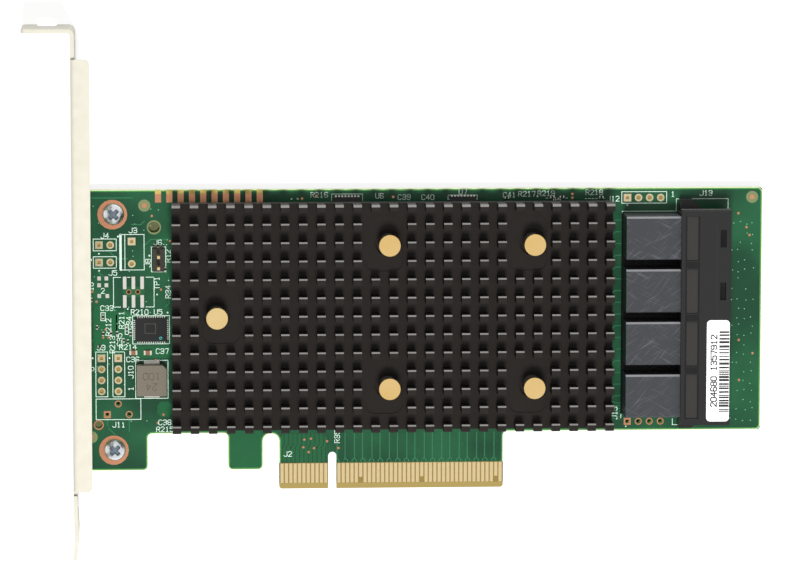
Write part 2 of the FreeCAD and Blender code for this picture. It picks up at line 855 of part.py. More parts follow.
def makeScrews():
    """Pan head screws with a cross recess turned by 45 degrees."""
    seat = mm.padThickness
    headTop = seat + mm.screwHeadHeight
    screws = []
    for place in screwPlaces:
        head = prisms([place], mm.screwHeadRadius, 18, seat, mm.screwHeadHeight)[0]
        doc.recompute()
        rounded = doc.addObject("Part::Chamfer", "RoundedHead")
        rounded.Base = head
        rim = mm.screwHeadRounding.value
        rounded.Edges = [(number, rim, rim) for number in levelEdges(head, headTop)]
        shank = prisms([place], mm.screwShankRadius, 12, seat - mm.screwLength, mm.screwLength)[0]
        screw = doc.addObject("Part::Fuse", "Screw")
        screw.Base = rounded
        screw.Tool = shank
        screws.append(screw)
    recesses = []
    for x, y in screwPlaces:
        for turn in (45, 135):
            reach, width = 2 * mm.recessReach, mm.recessWidth
            arm = boxes([(x, y, reach, width)], headTop - mm.recessDepth, mm.recessDepth + over)[0]
            angle = math.radians(turn)
            arm.Placement.Rotation = FreeCAD.Rotation(FreeCAD.Vector(0, 0, 1), turn)
            backX = reach * (math.cos(angle) / 2) - width * (math.sin(angle) / 2)
            backY = reach * (math.sin(angle) / 2) + width * (math.cos(angle) / 2)
            arm.setExpression("Placement.Base.x", (x - backX).formula)
            arm.setExpression("Placement.Base.y", (y - backY).formula)
            recesses.append(arm)
    cutNode("bracket_screws", group("screw_blanks", screws), recesses)


def makePads():
    rings = prisms(ringPlaces, mm.ringRadius, 18, 0, mm.padThickness)
    cutNode("screw_ring_pads", group("ring_blanks", rings),
            bores(ringPlaces, mm.screwHoleRadius, 16, asLength(0), mm.padThickness))

    testPads = newBody("edge_test_pads")
    sketch = newSketch(testPads)
    bottom = mm.boardHeight - mm.testPadHeight
    rectangle(sketch, mm.testPadLeft, bottom, mm.testPadWidth, mm.testPadHeight)
    first = pad(testPads, sketch, mm.padThickness)
    linearPattern(testPads, first, "X_Axis", mm.testPadPitch, mm.testPadCount)

    blanks = prisms(roundPads, mm.padRadius, 8, 0, mm.padThickness) + boxes(
        [(x - mm.padRadius, y - mm.padRadius, 2 * mm.padRadius, 2 * mm.padRadius) for x, y in squarePads],
        0, mm.padThickness,
    )
    cutNode("header_pads", group("pad_blanks", blanks),
            bores(squarePads + roundPads, mm.padHoleRadius, 6, asLength(0), mm.padThickness))

    plates("solder_pads", 0, mm.padThickness, [
        (mm.sixPadX + step * mm.sixPadPitch - mm.sixPadWidth / 2, y - mm.sixPadHeight / 2,
         mm.sixPadWidth, mm.sixPadHeight)
        for y in (mm.sixPadUpperY, mm.sixPadLowerY)
        for step in range(3)
    ])


def makeHeatSink():
    """An extruded plate of fins, cross-cut into pins, with five lands milled for the push pins."""
    body = newBody("heat_sink_blank")
    profile = newSketch(body, mm.sinkLeft, "YZ_Plane")
    outline = [(mm.sinkBottom, mm.sinkSeat), (mm.sinkBottom + mm.sinkHeight, mm.sinkSeat)]
    for row in reversed(range(sizes["pinRows"])):
        low = mm.sinkBottom + row * pinPitchY
        high = low + mm.pinWidth
        outline += [(high, sinkFloor), (high, pinTop), (low, pinTop), (low, sinkFloor)]
    # the first and last fin are flush with the plate, so two corners fall away
    polygon(profile, [outline[0], outline[1]] + outline[3:-1])
    pad(body, profile, mm.sinkLength)

    lands = newSketch(body, pinTop)
    for column, y in landColumns:
        middle = mm.sinkLeft + mm.pinLength / 2 + (column - 0.5) * pinPitchX
        left, bottom = middle - mm.landWidth / 2, y - mm.landHeight / 2
        roundedRectangle(lands, left, bottom, mm.landWidth, mm.landHeight, mm.landCornerRadius)
    pocket(body, lands, mm.pinHeight + mm.landDepth)

    tools = bores(pushPinPlaces, mm.pushPinHole, 12, mm.sinkSeat, sinkFloor)
    tools += prisms(pushPinPlaces, mm.springSeatRadius, 18, springSeat, mm.springSeatDepth + over)
    doc.recompute()
    seated = cutNode("heat_sink_fins", body, tools)
    cutWidth = pinPitchX - mm.pinLength
    cutNode("heat_sink", seated, boxes(
        [
            (mm.sinkLeft + mm.pinLength + column * pinPitchX, mm.sinkBottom - over,
             cutWidth, mm.sinkHeight + 2 * over)
            for column in range(sizes["pinColumns"] - 1)
        ],
        sinkFloor, mm.pinHeight + over,
    ))


def makePushPins():
    """Turned pins with a flat head and a split barb that snaps through the board."""
    barbTop = boardBack - mm.barbClearance
    barbEnd = barbTop - mm.barbLength
    pins, slots = [], []
    for x, y in pushPinPlaces:
        head = prisms([(x, y)], mm.pushPinHead, 16, pushPinHeadBottom, mm.pushPinHeadHeight)[0]
        barb = prisms([(x, y)], mm.barbRadius, 8, barbEnd, mm.barbLength)[0]
        shank = prisms([(x, y)], mm.pushPinShank, 8, barbTop, pushPinHeadBottom - barbTop)[0]
        doc.recompute()
        chamfered = []
        for blank, level, size in (
            (head, mm.pushPinHeadTop, mm.pushPinRim),
            (barb, barbEnd, mm.barbRadius - mm.barbTipRadius),
        ):
            piece = doc.addObject("Part::Chamfer", "Chamfered")
            piece.Base = blank
            piece.Edges = [(number, size.value, size.value) for number in levelEdges(blank, level)]
            chamfered.append(piece)
        pin = doc.addObject("Part::MultiFuse", "Pin")
        pin.Shapes = chamfered + [shank]
        pins.append(pin)
        reach = mm.barbRadius + over
        slots += boxes([(x - mm.barbSlot / 2, y - reach, mm.barbSlot, 2 * reach)],
                       barbEnd - over, mm.barbLength + mm.boardThickness + over)
    cutNode("push_pins", group("pin_blanks", pins), slots)


def springSolid(x, y):
    """A coil of square wire, with flat facets between the steps of its helix."""
    radius, wire = mm.springRadius.value, mm.springWire.value
    turns, sides = sizes["springTurns"], sizes["springSides"]
    bottom = springSeat.value + wire / 2
    rise = pushPinHeadBottom.value - springSeat.value - wire
    rings = []
    steps = turns * sides
    for step in range(steps + 1):
        angle = 2 * math.pi * step / sides
        outward = FreeCAD.Vector(math.cos(angle), math.sin(angle), 0)
        centre = FreeCAD.Vector(x, y, bottom + rise * step / steps) + outward * radius
        upward = FreeCAD.Vector(0, 0, wire / 2)
        sideways = outward * (wire / 2)
        rings.append([
            centre - sideways - upward,
            centre + sideways - upward,
            centre + sideways + upward,
            centre - sideways + upward,
        ])
    faces = [Part.Face(Part.makePolygon(ring + ring[:1])) for ring in (rings[0], rings[-1])]
    for here, there in zip(rings, rings[1:]):
        for side in range(4):
            a, b = here[side], here[(side + 1) % 4]
            c, d = there[(side + 1) % 4], there[side]
            faces.append(Part.Face(Part.makePolygon([a, b, c, a])))
            faces.append(Part.Face(Part.makePolygon([a, c, d, a])))
    solid = Part.Solid(Part.Shell(faces))
    if solid.Volume < 0:
        solid.reverse()
    return solid


def makeSprings():
    springs = doc.addObject("Part::Feature", "push_pin_springs")
    springs.Shape = Part.Compound([springSolid(x.value, y.value) for x, y in pushPinPlaces])
    springs.Label = "push_pin_springs"
    springs.Placement = FreeCAD.Placement()
    nodes.append(springs)


def makeController():
    half = mm.controllerSize / 2
    plates("controller_substrate", 0, mm.controllerThickness, [
        (mm.controllerX - half, mm.middleRow - half, mm.controllerSize, mm.controllerSize),
    ])
    half = mm.lidSize / 2
    left, bottom = mm.controllerX - half, mm.middleRow - half
    lid = plates("controller_lid", mm.controllerThickness, mm.lidThickness, [
        (left, bottom, mm.lidSize, mm.lidSize),
    ])
    corners = [(left, bottom), (left + mm.lidSize, bottom), (left + mm.lidSize, bottom + mm.lidSize),
               (left, bottom + mm.lidSize)]
    chamfer(lid, lid.Tip, straightEdges(lid.Tip, 2, corners), mm.lidCorner)
    lidTop = mm.controllerThickness + mm.lidThickness
    plates("thermal_pad", lidTop, mm.sinkSeat - lidTop, [(left, bottom, mm.lidSize, mm.lidSize)])
    plates("flash_chips", 0, mm.flashThickness, [
        (x, mm.flashTop - mm.flashWidth, mm.flashLength, mm.flashWidth) for x in (mm.flashX, mm.flashTwoX)
    ])


def makeHousing():
    """Four ports side by side under one roof, with an ear at each end that holds the board."""
    body = newBody("connector_housing")
    depth = mm.housingFront - mm.housingBack
    bottom = mm.housingCentreY - housingHeight / 2
    walls = newSketch(body)
    wallHeight = housingHeight - 2 * mm.skirtInset
    rectangle(walls, mm.housingBack, bottom + mm.skirtInset, depth, wallHeight)
    pad(body, walls, mm.housingTop - mm.roofSkirt)
    roof = newSketch(body, mm.housingTop)
    rectangle(roof, mm.housingBack, bottom, depth, housingHeight)
    pad(body, roof, mm.roofSkirt, towardsNormal=False)

    ears = newSketch(body)
    for root, side in ((bottom + mm.skirtInset, -1), (bottom + mm.skirtInset + wallHeight, 1)):
        tip = root + side * (mm.earReach + mm.skirtInset)
        polygon(ears, [
            (mm.housingBack + mm.earLeft, root - side * over),
            (mm.housingBack + mm.earLeft, tip),
            (mm.housingBack + mm.earRight - mm.earSlope, tip),
            (mm.housingBack + mm.earRight, tip - side * mm.earSlope),
            (mm.housingBack + mm.earRight, root - side * over),
        ])
    pad(body, ears, mm.earHeight)

    ports = newSketch(body, mm.housingBack - over, "YZ_Plane")
    portHeight = mm.housingTop - mm.roofThickness - mm.portBottom
    for y in portCentres:
        rectangle(ports, y - mm.portWidth / 2, mm.portBottom, mm.portWidth, portHeight)
    pocket(body, ports, depth + 2 * over, towardsNormal=True)

    recesses = newSketch(body, mm.housingTop)
    latches = newSketch(body, mm.housingTop)
    for y in portCentres:
        recessLeft = mm.housingBack + mm.roofRecessBack
        rectangle(recesses, recessLeft, y - mm.roofRecessWidth / 2, mm.roofRecessLength, mm.roofRecessWidth)
        latchLeft = mm.housingBack + mm.latchBack
        rectangle(latches, latchLeft, y - mm.latchWidth / 2, mm.latchLength, mm.latchWidth)
    pocket(body, recesses, mm.roofRecessDepth)
    pocket(body, latches, mm.roofThickness)


def makeTerminalBlocks():
    """Each block stands behind the housing, and its nose with two card slots fills a port's back."""
    slotFloor = (mm.portBottom + mm.housingTop - mm.roofThickness) / 2
    for number, y in enumerate(portCentres, 1):
        body = newBody("terminal_block_%d" % number)
        rear = newSketch(body)
        rectangle(rear, mm.blockBack, y - mm.blockWidth / 2, mm.housingBack - mm.blockBack, mm.blockWidth)
        block = pad(body, rear, mm.blockTop)
        upperEdges = [(y - mm.blockWidth / 2, mm.blockTop), (y + mm.blockWidth / 2, mm.blockTop)]
        chamfer(body, block, straightEdges(block, 0, upperEdges), mm.blockBevel)
        nose = newSketch(body, mm.housingBack, "YZ_Plane")
        gap = mm.noseClearance
        noseHeight = mm.housingTop - mm.roofThickness - mm.portBottom
        rectangle(nose, y - mm.portWidth / 2 + gap, mm.portBottom + gap,
                  mm.portWidth - 2 * gap, noseHeight - 2 * gap)
        pad(body, nose, mm.noseLength)
        slots = newSketch(body, mm.housingBack + mm.noseLength, "YZ_Plane")
        for side in (-0.5, 0.5):
            middle = slotFloor + side * mm.cardSlotPitch
            rectangle(slots, y - mm.cardSlotWidth / 2, middle - mm.cardSlotHeight / 2,
                      mm.cardSlotWidth, mm.cardSlotHeight)
        pocket(body, slots, mm.cardSlotDepth)

    plates("port_contacts", slotFloor - (mm.cardSlotPitch + mm.cardSlotHeight) / 2, mm.portContactThickness, [
        (mm.housingBack + mm.noseLength - mm.cardSlotDepth, y - mm.portContactSpan / 2,
         mm.cardSlotDepth - 0.3, mm.portContactSpan)
        for y in portCentres
    ])
    body = doc.getObject("port_contacts")
    upper = newSketch(body, slotFloor + (mm.cardSlotPitch - mm.cardSlotHeight) / 2)
    for y in portCentres:
        rectangle(upper, mm.housingBack + mm.noseLength - mm.cardSlotDepth, y - mm.portContactSpan / 2,
                  mm.cardSlotDepth - 0.3, mm.portContactSpan)
    pad(body, upper, mm.portContactThickness)


def makeLabel():
    body = plates("barcode_label", mm.housingTop, mm.labelThickness, [
        (mm.labelLeft, mm.labelBottom, mm.labelWidth, mm.labelHeight),
    ])
    right, top = mm.labelLeft + mm.labelWidth, mm.labelBottom + mm.labelHeight
    corners = [(mm.labelLeft, mm.labelBottom), (right, mm.labelBottom), (right, top), (mm.labelLeft, top)]
    fillet(body, body.Tip, straightEdges(body.Tip, 2, corners), mm.labelCornerRadius)


def makePowerParts():
    centre = mm.inductorX + mm.inductorWidth / 2
    top = mm.inductorY + mm.inductorHeight
    reach = mm.terminalReach + mm.terminalUnder
    plates("inductor_terminals", 0, mm.terminalThickness, [
        (centre - mm.terminalWidth / 2, mm.inductorY - mm.terminalReach, mm.terminalWidth, reach),
        (centre - mm.terminalWidth / 2, top - mm.terminalUnder, mm.terminalWidth, reach),
    ])
    core = plates("inductor_core", mm.terminalThickness, mm.inductorTop - mm.terminalThickness, [
        (mm.inductorX, mm.inductorY, mm.inductorWidth, mm.inductorHeight),
    ])
    right = mm.inductorX + mm.inductorWidth
    chamfer(core, core.Tip, straightEdges(core.Tip, 2, [(right, top)]), mm.inductorCorner)
    plates("regulator_chip", 0, mm.regulatorTop, [
        (mm.regulatorX, mm.regulatorY, mm.regulatorWidth, mm.regulatorHeight),
    ])


def makeHeader():
    body = newBody("header_body")
    half = mm.headerWidth / 2
    block = newSketch(body)
    rectangle(block, mm.headerX - half, mm.headerY - mm.headerPitch - half,
              mm.headerWidth, mm.headerPitch + mm.headerWidth)
    pad(body, block, mm.headerBodyTop)
    bores = newSketch(body, mm.headerBodyTop)
    postHalf = mm.headerPostSize / 2
    posts = [(x - postHalf, y - postHalf, mm.headerPostSize, mm.headerPostSize) for x, y in headerPostPlaces]
    for post in posts:
        rectangle(bores, *post)
    pocket(body, bores, mm.headerBodyTop)
    bottom = boardBack - mm.headerTail
    plates("header_posts", bottom, mm.headerPostTop - bottom, posts)


def makeChipParts():
    """Chip parts lie along X or Y: each is a body between two solder end caps."""
    bodies = {"chip_capacitors": [], "chip_resistors": []}
    caps = []
    for name, x, y, along in (
        ("chip_capacitors", 13.52, 31.75, "x"),
        ("chip_capacitors", 16.8, 31.72, "x"),
        ("chip_resistors", 8.5, 36.2, "y"),
        ("chip_resistors", 9.9, 36.2, "y"),
        ("chip_resistors", 11.3, 34.6, "y"),
    ):
        large = name == "chip_capacitors"
        length = mm.chipLength if large else mm.smallChipLength
        width = mm.chipWidth if large else mm.smallChipWidth
        height = mm.chipThickness if large else mm.smallChipThickness
        cap = mm.chipCap if large else mm.smallChipCap
        start = asLength(x if along == "x" else y) - length / 2
        side = asLength(y if along == "x" else x) - width / 2
        for begin, run, group in (
            (start, cap, caps),
            (start + cap, length - 2 * cap, bodies[name]),
            (start + length - cap, cap, caps),
        ):
            if along == "x":
                group.append(((begin, side, run, width), height))
            else:
                group.append(((side, begin, width, run), height))
    for label, group in (("chip_capacitors", bodies["chip_capacitors"]),
                         ("chip_resistors", bodies["chip_resistors"]), ("chip_end_caps", caps)):
        body = newBody(label)
        for place, height in group:
            sketch = newSketch(body)
            rectangle(sketch, *place)
            pad(body, sketch, height)


for make in (
    makeBoard,
    makeEdgeContacts,
    makeBracket,
    makeScrews,
    makePads,
    makeHeatSink,
    makePushPins,
    makeSprings,
    makeController,
    makeHousing,
    makeTerminalBlocks,
    makeLabel,
    makePowerParts,
    makeHeader,
    makeChipParts,
):
    make()
    print(make.__name__)

doc.recompute()
for thing in doc.Objects:
    if "Invalid" in thing.State or "Error" in thing.State:
        raise ValueError("%s failed: %s" % (thing.Name, thing.State))
for node in nodes:
    if node.Shape.isNull() or not node.Shape.isValid():
        raise ValueError("%s has no valid shape" % node.Label)

os.makedirs("parts", exist_ok=True)
for node in nodes:
    node.Shape.exportStep("parts/%s.step" % node.Label)
    print("%-22s %3d solids %10.2f mm3" % (node.Label, len(node.Shape.Solids), node.Shape.Volume))
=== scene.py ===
import itertools
import math
import random

import bmesh
import bpy
from mathutils import Matrix, Vector


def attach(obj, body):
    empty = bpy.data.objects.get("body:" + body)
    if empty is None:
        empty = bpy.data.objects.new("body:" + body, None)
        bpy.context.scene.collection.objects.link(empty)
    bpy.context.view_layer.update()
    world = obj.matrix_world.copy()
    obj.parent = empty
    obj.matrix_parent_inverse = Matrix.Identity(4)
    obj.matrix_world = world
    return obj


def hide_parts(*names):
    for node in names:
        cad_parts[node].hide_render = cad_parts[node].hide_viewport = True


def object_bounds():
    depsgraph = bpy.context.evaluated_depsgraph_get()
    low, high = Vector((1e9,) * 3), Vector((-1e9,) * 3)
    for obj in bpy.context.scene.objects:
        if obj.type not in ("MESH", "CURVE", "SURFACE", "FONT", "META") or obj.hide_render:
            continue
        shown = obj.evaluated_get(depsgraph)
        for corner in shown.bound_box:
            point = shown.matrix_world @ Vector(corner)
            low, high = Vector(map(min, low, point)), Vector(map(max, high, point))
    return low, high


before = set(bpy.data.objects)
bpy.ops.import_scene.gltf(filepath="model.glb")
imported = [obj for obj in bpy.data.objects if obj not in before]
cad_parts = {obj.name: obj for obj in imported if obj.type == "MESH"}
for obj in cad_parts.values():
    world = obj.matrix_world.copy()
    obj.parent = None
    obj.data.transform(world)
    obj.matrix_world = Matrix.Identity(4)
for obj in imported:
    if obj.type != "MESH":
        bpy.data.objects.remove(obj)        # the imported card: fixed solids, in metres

cadBox = [list(corner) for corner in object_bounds()]
scene = bpy.context.scene
mm = 0.001
random.seed(7)
print("frame loaded:", len(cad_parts), "nodes")


# Tools for meshes: every size is in mm and turned to metres in makePiece

def loopAt(bm, points, z):
    return [bm.verts.new((x, y, z)) for x, y in points]


def circleLoop(x, y, radius, sides=36):
    turns = [2 * math.pi * side / sides for side in range(sides)]
    return [(x + radius * math.cos(turn), y + radius * math.sin(turn)) for turn in turns]


def bridgeRings(bm, rings, closed=True):
    # faces between rings of points, in order; closed adds a lid at each end
    faces = []
    for lower, upper in zip(rings, rings[1:]):
        for side in range(len(lower)):
            after = (side + 1) % len(lower)
            faces.append(bm.faces.new((lower[side], lower[after], upper[after], upper[side])))
    if closed:
        faces.append(bm.faces.new(list(reversed(rings[0]))))
        faces.append(bm.faces.new(rings[-1]))
    return faces


def addBlock(bm, left, low, right, high, bottom, top, rim=0.0):
    # rim is the width of the bevel round the top face
    levels = [(bottom, 0.0), (top - rim, 0.0), (top, rim)] if rim else [(bottom, 0.0), (top, 0.0)]
    rings = []
    for z, inset in levels:
        rings.append(loopAt(bm, (
            (left + inset, low + inset), (right - inset, low + inset),
            (right - inset, high - inset), (left + inset, high - inset),
        ), z))
    bridgeRings(bm, rings)


def addTurned(bm, x, y, profile, sides=32):
    # profile is a list of (radius, height) from the shape's bottom to its top
    bridgeRings(bm, [loopAt(bm, circleLoop(x, y, radius, sides), z) for radius, z in profile])


def addDisc(bm, x, y, radius, bottom, top, sides=20):
    addTurned(bm, x, y, [(radius, bottom), (radius, top)], sides)


def addRing(bm, x, y, inner, outer, bottom, top, sides=28):
    section = ((inner, bottom), (outer, bottom), (outer, top), (inner, top))
    rings = [loopAt(bm, circleLoop(x, y, radius, sides), z) for radius, z in section]
    bridgeRings(bm, rings + [rings[0]], closed=False)


# strokes take turns at nine heights, so that two that cross never share a plane
strokeLifts = itertools.cycle([step * 0.0003 for step in range(-4, 5)])


def addStroke(bm, points, width, bottom, top):
    # a flat strip with square ends along each line between the points
    for (x0, y0), (x1, y1) in zip(points, points[1:]):
        top += next(strokeLifts)
        length = math.hypot(x1 - x0, y1 - y0)
        alongX, alongY = (x1 - x0) / length * width / 2, (y1 - y0) / length * width / 2
        corners = (
            (x0 - alongX + alongY, y0 - alongY - alongX), (x1 + alongX + alongY, y1 + alongY - alongX),
            (x1 + alongX - alongY, y1 + alongY + alongX), (x0 - alongX - alongY, y0 - alongY + alongX),
        )
        bridgeRings(bm, [loopAt(bm, corners, z) for z in (bottom, top)])


def addRibbon(bm, path, near, far, bottom, top):
    # a band on the right-hand side of a path, from one distance to another
    rings = []
    for index, (x, y) in enumerate(path):
        before, after = Vector(path[max(index - 1, 0)]), Vector(path[min(index + 1, len(path) - 1)])
        along = (after - before).normalized()
        places = [(x + along.y * distance, y - along.x * distance) for distance in (near, far)]
        rings.append([
            bm.verts.new((*places[0], bottom)), bm.verts.new((*places[1], bottom)),
            bm.verts.new((*places[1], top)), bm.verts.new((*places[0], top)),
        ])
    bridgeRings(bm, rings)


def addOutline(bm, left, low, right, high, width, bottom, top):
    addStroke(bm, [(left, low), (right, low), (right, high), (left, high), (left, low)], width, bottom, top)


sharpAngle = math.radians(35)    # smooth pieces keep edges that are sharper than this


def newMeshes(count):
    return [bmesh.new() for index in range(count)]


def makePiece(name, bm, material, smooth=False, second=None):
    # second is the finish of the faces whose material index is 1
    bmesh.ops.recalc_face_normals(bm, faces=bm.faces)
    bmesh.ops.scale(bm, vec=(mm, mm, mm), verts=bm.verts)
    mesh = bpy.data.meshes.new(name)
    bm.to_mesh(mesh)
    bm.free()
    if smooth:
        mesh.shade_smooth()
        mesh.set_sharp_from_angle(angle=sharpAngle)
    mesh.materials.append(material)
    if second:
        mesh.materials.append(second)
    piece = bpy.data.objects.new(name, mesh)
    scene.collection.objects.link(piece)
    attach(piece, "root")
    return piece


# Tools for materials

def fromHex(code):
    channels = [int(code[place:place + 2], 16) / 255 for place in (1, 3, 5)]
    linear = [c / 12.92 if c <= 0.04045 else ((c + 0.055) / 1.055) ** 2.4 for c in channels]
    return (*linear, 1.0)


def addNode(tree, kind, inputs=None, **settings):
    node = tree.nodes.new(kind)
    for name, value in settings.items():
        setattr(node, name, value)
    for name, value in (inputs or {}).items():
        if isinstance(value, bpy.types.NodeSocket):
            tree.links.new(value, node.inputs[name])
        else:
            node.inputs[name].default_value = value
    return node


def newMaterial(name, metallic, roughness, **constants):
    material = bpy.data.materials.new(name)
    material.use_nodes = True
    tree = material.node_tree
    shader = tree.nodes["Principled BSDF"]
    shader.inputs["Metallic"].default_value = metallic
    shader.inputs["Roughness"].default_value = roughness
    for socket, value in constants.items():
        shader.inputs[socket.replace("_", " ")].default_value = value
    place = addNode(tree, "ShaderNodeTexCoord").outputs["Object"]
    return material, tree, shader, place


def noiseAt(tree, place, size, detail):
    # size is the width of one cell of the noise in mm
    inputs = {"Vector": place, "Scale": 1 / (size * mm), "Detail": detail}
    return addNode(tree, "ShaderNodeTexNoise", inputs).outputs["Fac"]


def mixColours(tree, factor, first, second):
    # sockets 6 and 7 are the mix node's two colours, and output 2 is their mix
    colours = {"Factor": factor, 6: first, 7: second}
    return addNode(tree, "ShaderNodeMix", colours, data_type="RGBA").outputs[2]


def remap(tree, value, fromMin, fromMax, toMin=0.0, toMax=1.0):
    limits = {"From Min": fromMin, "From Max": fromMax, "To Min": toMin, "To Max": toMax}
    return addNode(tree, "ShaderNodeMapRange", {"Value": value, **limits}).outputs["Result"]


def compute(tree, operation, *values, clamp=False):
    inputs = dict(enumerate(values))
    return addNode(tree, "ShaderNodeMath", inputs, operation=operation, use_clamp=clamp).outputs["Value"]


def addBump(tree, shader, height, strength, depth):
    relief = addNode(tree, "ShaderNodeBump", {"Height": height, "Strength": strength, "Distance": depth * mm})
    tree.links.new(relief.outputs["Normal"], shader.inputs["Normal"])


glossSpread = 0.08    # how far a mottled finish's roughness wanders to each side


def mottled(name, dark, light, grain, metallic, roughness, bump=0.0, **constants):
    # colour and roughness wander between two shades over one grain size; bump is a depth in mm
    material, tree, shader, place = newMaterial(name, metallic, roughness, **constants)
    noise = noiseAt(tree, place, grain, 5.0)
    tree.links.new(mixColours(tree, noise, fromHex(dark), fromHex(light)), shader.inputs["Base Color"])
    gloss = remap(tree, noise, 0.3, 0.7, max(roughness - glossSpread, 0.02), roughness + glossSpread)
    tree.links.new(gloss, shader.inputs["Roughness"])
    if bump:
        addBump(tree, shader, noiseAt(tree, place, grain / 4, 3.0), 0.5, bump)
    return material


# Scuffs on the terminal blocks: each run of hairlines has a direction in degrees and a size in mm
scuffs = {
    "runs": [(-58, 0.3), (-40, 0.45), (62, 0.35)], "stretch": 14.0, "start": 0.66, "full": 0.82, "share": 0.17,
}


def scratchedPlastic(name, dark, light, scratch, roughness):
    # the hairlines lie where a noise that is stretched along them has its peaks
    material = mottled(name, dark, light, 0.8, 0.0, roughness, bump=0.006)
    tree = material.node_tree
    shader = tree.nodes["Principled BSDF"]
    base = shader.inputs["Base Color"].links[0].from_socket
    place = addNode(tree, "ShaderNodeTexCoord").outputs["Object"]
    for turn, size in scuffs["runs"]:
        stretched = addNode(tree, "ShaderNodeMapping", {
            "Vector": place, "Rotation": (0.0, 0.0, math.radians(turn)), "Scale": (1.0, scuffs["stretch"], 1.0),
        }, vector_type="TEXTURE").outputs["Vector"]
        peaks = noiseAt(tree, stretched, size, 0.0)
        line = remap(tree, peaks, scuffs["start"], scuffs["full"], 0.0, scuffs["share"])
        base = mixColours(tree, line, base, fromHex(scratch))
    tree.links.new(base, shader.inputs["Base Color"])
    return material


# Glass-epoxy board: liquid photo-imageable mask, so the green is glossy and uneven where the copper
# under it changes; the routed sides show the raw yellow-green laminate
board = {
    "maskDark": "#113a25", "maskLight": "#1e5435", "routedEdge": "#dcf3b4", "bevelledEdge": "#93804a",
    "roughness": 0.3, "pourSize": 16.0, "weaveSize": 0.8, "weaveShare": 0.3, "weaveDepth": 0.01,
    "bevelTop": 1.32,    # the card edge's bevel reaches this far up in y
}


def boardMaterial():
    material, tree, shader, place = newMaterial(
        "glassEpoxyBoard", 0.0, board["roughness"], IOR=1.5, Specular_IOR_Level=0.3)
    pours = remap(tree, noiseAt(tree, place, board["pourSize"], 2.0), 0.35, 0.65)
    weave = noiseAt(tree, place, board["weaveSize"], 4.0)
    blend = compute(tree, "SUBTRACT", pours, compute(tree, "MULTIPLY", weave, board["weaveShare"]), clamp=True)
    mask = mixColours(tree, blend, fromHex(board["maskDark"]), fromHex(board["maskLight"]))
    normal = addNode(tree, "ShaderNodeNewGeometry").outputs["True Normal"]
    upright = addNode(tree, "ShaderNodeSeparateXYZ", {"Vector": normal}).outputs["Z"]
    isFlat = compute(tree, "GREATER_THAN", compute(tree, "ABSOLUTE", upright), 0.97)
    height = addNode(tree, "ShaderNodeSeparateXYZ", {"Vector": place}).outputs["Y"]
    isBevel = compute(tree, "LESS_THAN", height, board["bevelTop"] * mm)
    edge = mixColours(tree, isBevel, fromHex(board["routedEdge"]), fromHex(board["bevelledEdge"]))
    tree.links.new(mixColours(tree, isFlat, edge, mask), shader.inputs["Base Color"])
    addBump(tree, shader, weave, 0.2, board["weaveDepth"])
    return material


# The other finishes, each named for what the real one is made of
boardGreen = boardMaterial()
# hard gold over nickel, plated flat: a soft mirror
hardGold = mottled("hardGoldPlate", "#ecd09a", "#fbe6b6", 0.9, 1.0, 0.34, bump=0.001)
# immersion gold on solder pads: paler and more matt than the contacts
paleGold = mottled("immersionGold", "#e6d2a4", "#f7ebc8", 0.5, 1.0, 0.4, bump=0.001)
# bare copper under a clear preservative: salmon pink
bareCopper = mottled("bareCopper", "#cf8a66", "#eaab87", 0.7, 0.9, 0.42, bump=0.001)
# rolled steel sheet, zinc plated and passivated: warm off-white, faintly cloudy
zincSheet = mottled("zincPlatedSheet", "#c6c1b1", "#d8d4c6", 2.5, 0.2, 0.5, bump=0.002)
# bright zinc on the screws: cold blue-white
brightZinc = mottled("brightZinc", "#dde2e7", "#f3f6f8", 0.8, 1.0, 0.3, bump=0.001)
# tinned copper pads: dull grey-white solder
solder = mottled("reflowedSolder", "#cdc9c0", "#efece5", 0.35, 0.75, 0.36, bump=0.003)
# black anodised extrusion: dense, very slightly brown, satin from the etch before anodising
anodised = mottled("blackAnodised", "#191614", "#24201e", 0.5, 0.0, 0.5, bump=0.002, Specular_IOR_Level=0.2)
# painted highlight: the pins' bevels that face the board's top edge are coloured light grey for the glint of
# light along them
paintedGlintEdge = mottled("paintedGlintOnAnodisedEdge", "#73716e", "#888683", 6.0, 0.0, 0.5)
# turned brass: each head's face shades from deep to pale yellow
turnedBrass = mottled("turnedBrass", "#ecb95f", "#ffeab2", 14.0, 1.0, 0.34, bump=0.001)
# drawn spring wire
springWire = mottled("oxidisedSpringWire", "#2e2d2b", "#4a4946", 0.6, 0.8, 0.45)
# package laminate, nickel plated lid and gap filler of the hidden controller
packageLaminate = mottled("packageLaminate", "#143c26", "#1f5235", 1.5, 0.0, 0.5)
nickelLid = mottled("nickelPlatedLid", "#a5a5a2", "#cfcfca", 2.0, 1.0, 0.36, bump=0.002)
gapFiller = mottled("siliconeGapFiller", "#8a90a0", "#a2a7b4", 1.0, 0.0, 0.8, bump=0.01)
# epoxy moulding compound: charcoal with a fine spark-eroded texture
mouldedEpoxy = mottled("epoxyMouldingCompound", "#131314", "#202021", 0.25, 0.0, 0.6, bump=0.006)
# glass-filled LCP: the housing is jet black and satin, the terminal blocks dark grey
housingPlastic = mottled("blackLiquidCrystalPolymer", "#0d0d0e", "#191919", 0.6, 0.0, 0.5, bump=0.006)
blockPlastic = scratchedPlastic("greyLiquidCrystalPolymer", "#2c2d30", "#37393d", "#7d7f86", 0.5)
# painted highlight: a lighter grey for the glint along the terminal blocks' top bevel
paintedGlintPlastic = mottled("paintedGlintOnPlasticEdge", "#747477", "#8e8e91", 5.0, 0.0, 0.5)
# polyester label film with a matt white coat
labelFilm = mottled("polyesterLabel", "#f6f6f4", "#fcfcfa", 3.0, 0.0, 0.55)
labelInk = mottled("thermalTransferInk", "#1f1f20", "#3a3a3b", 0.4, 0.0, 0.6)
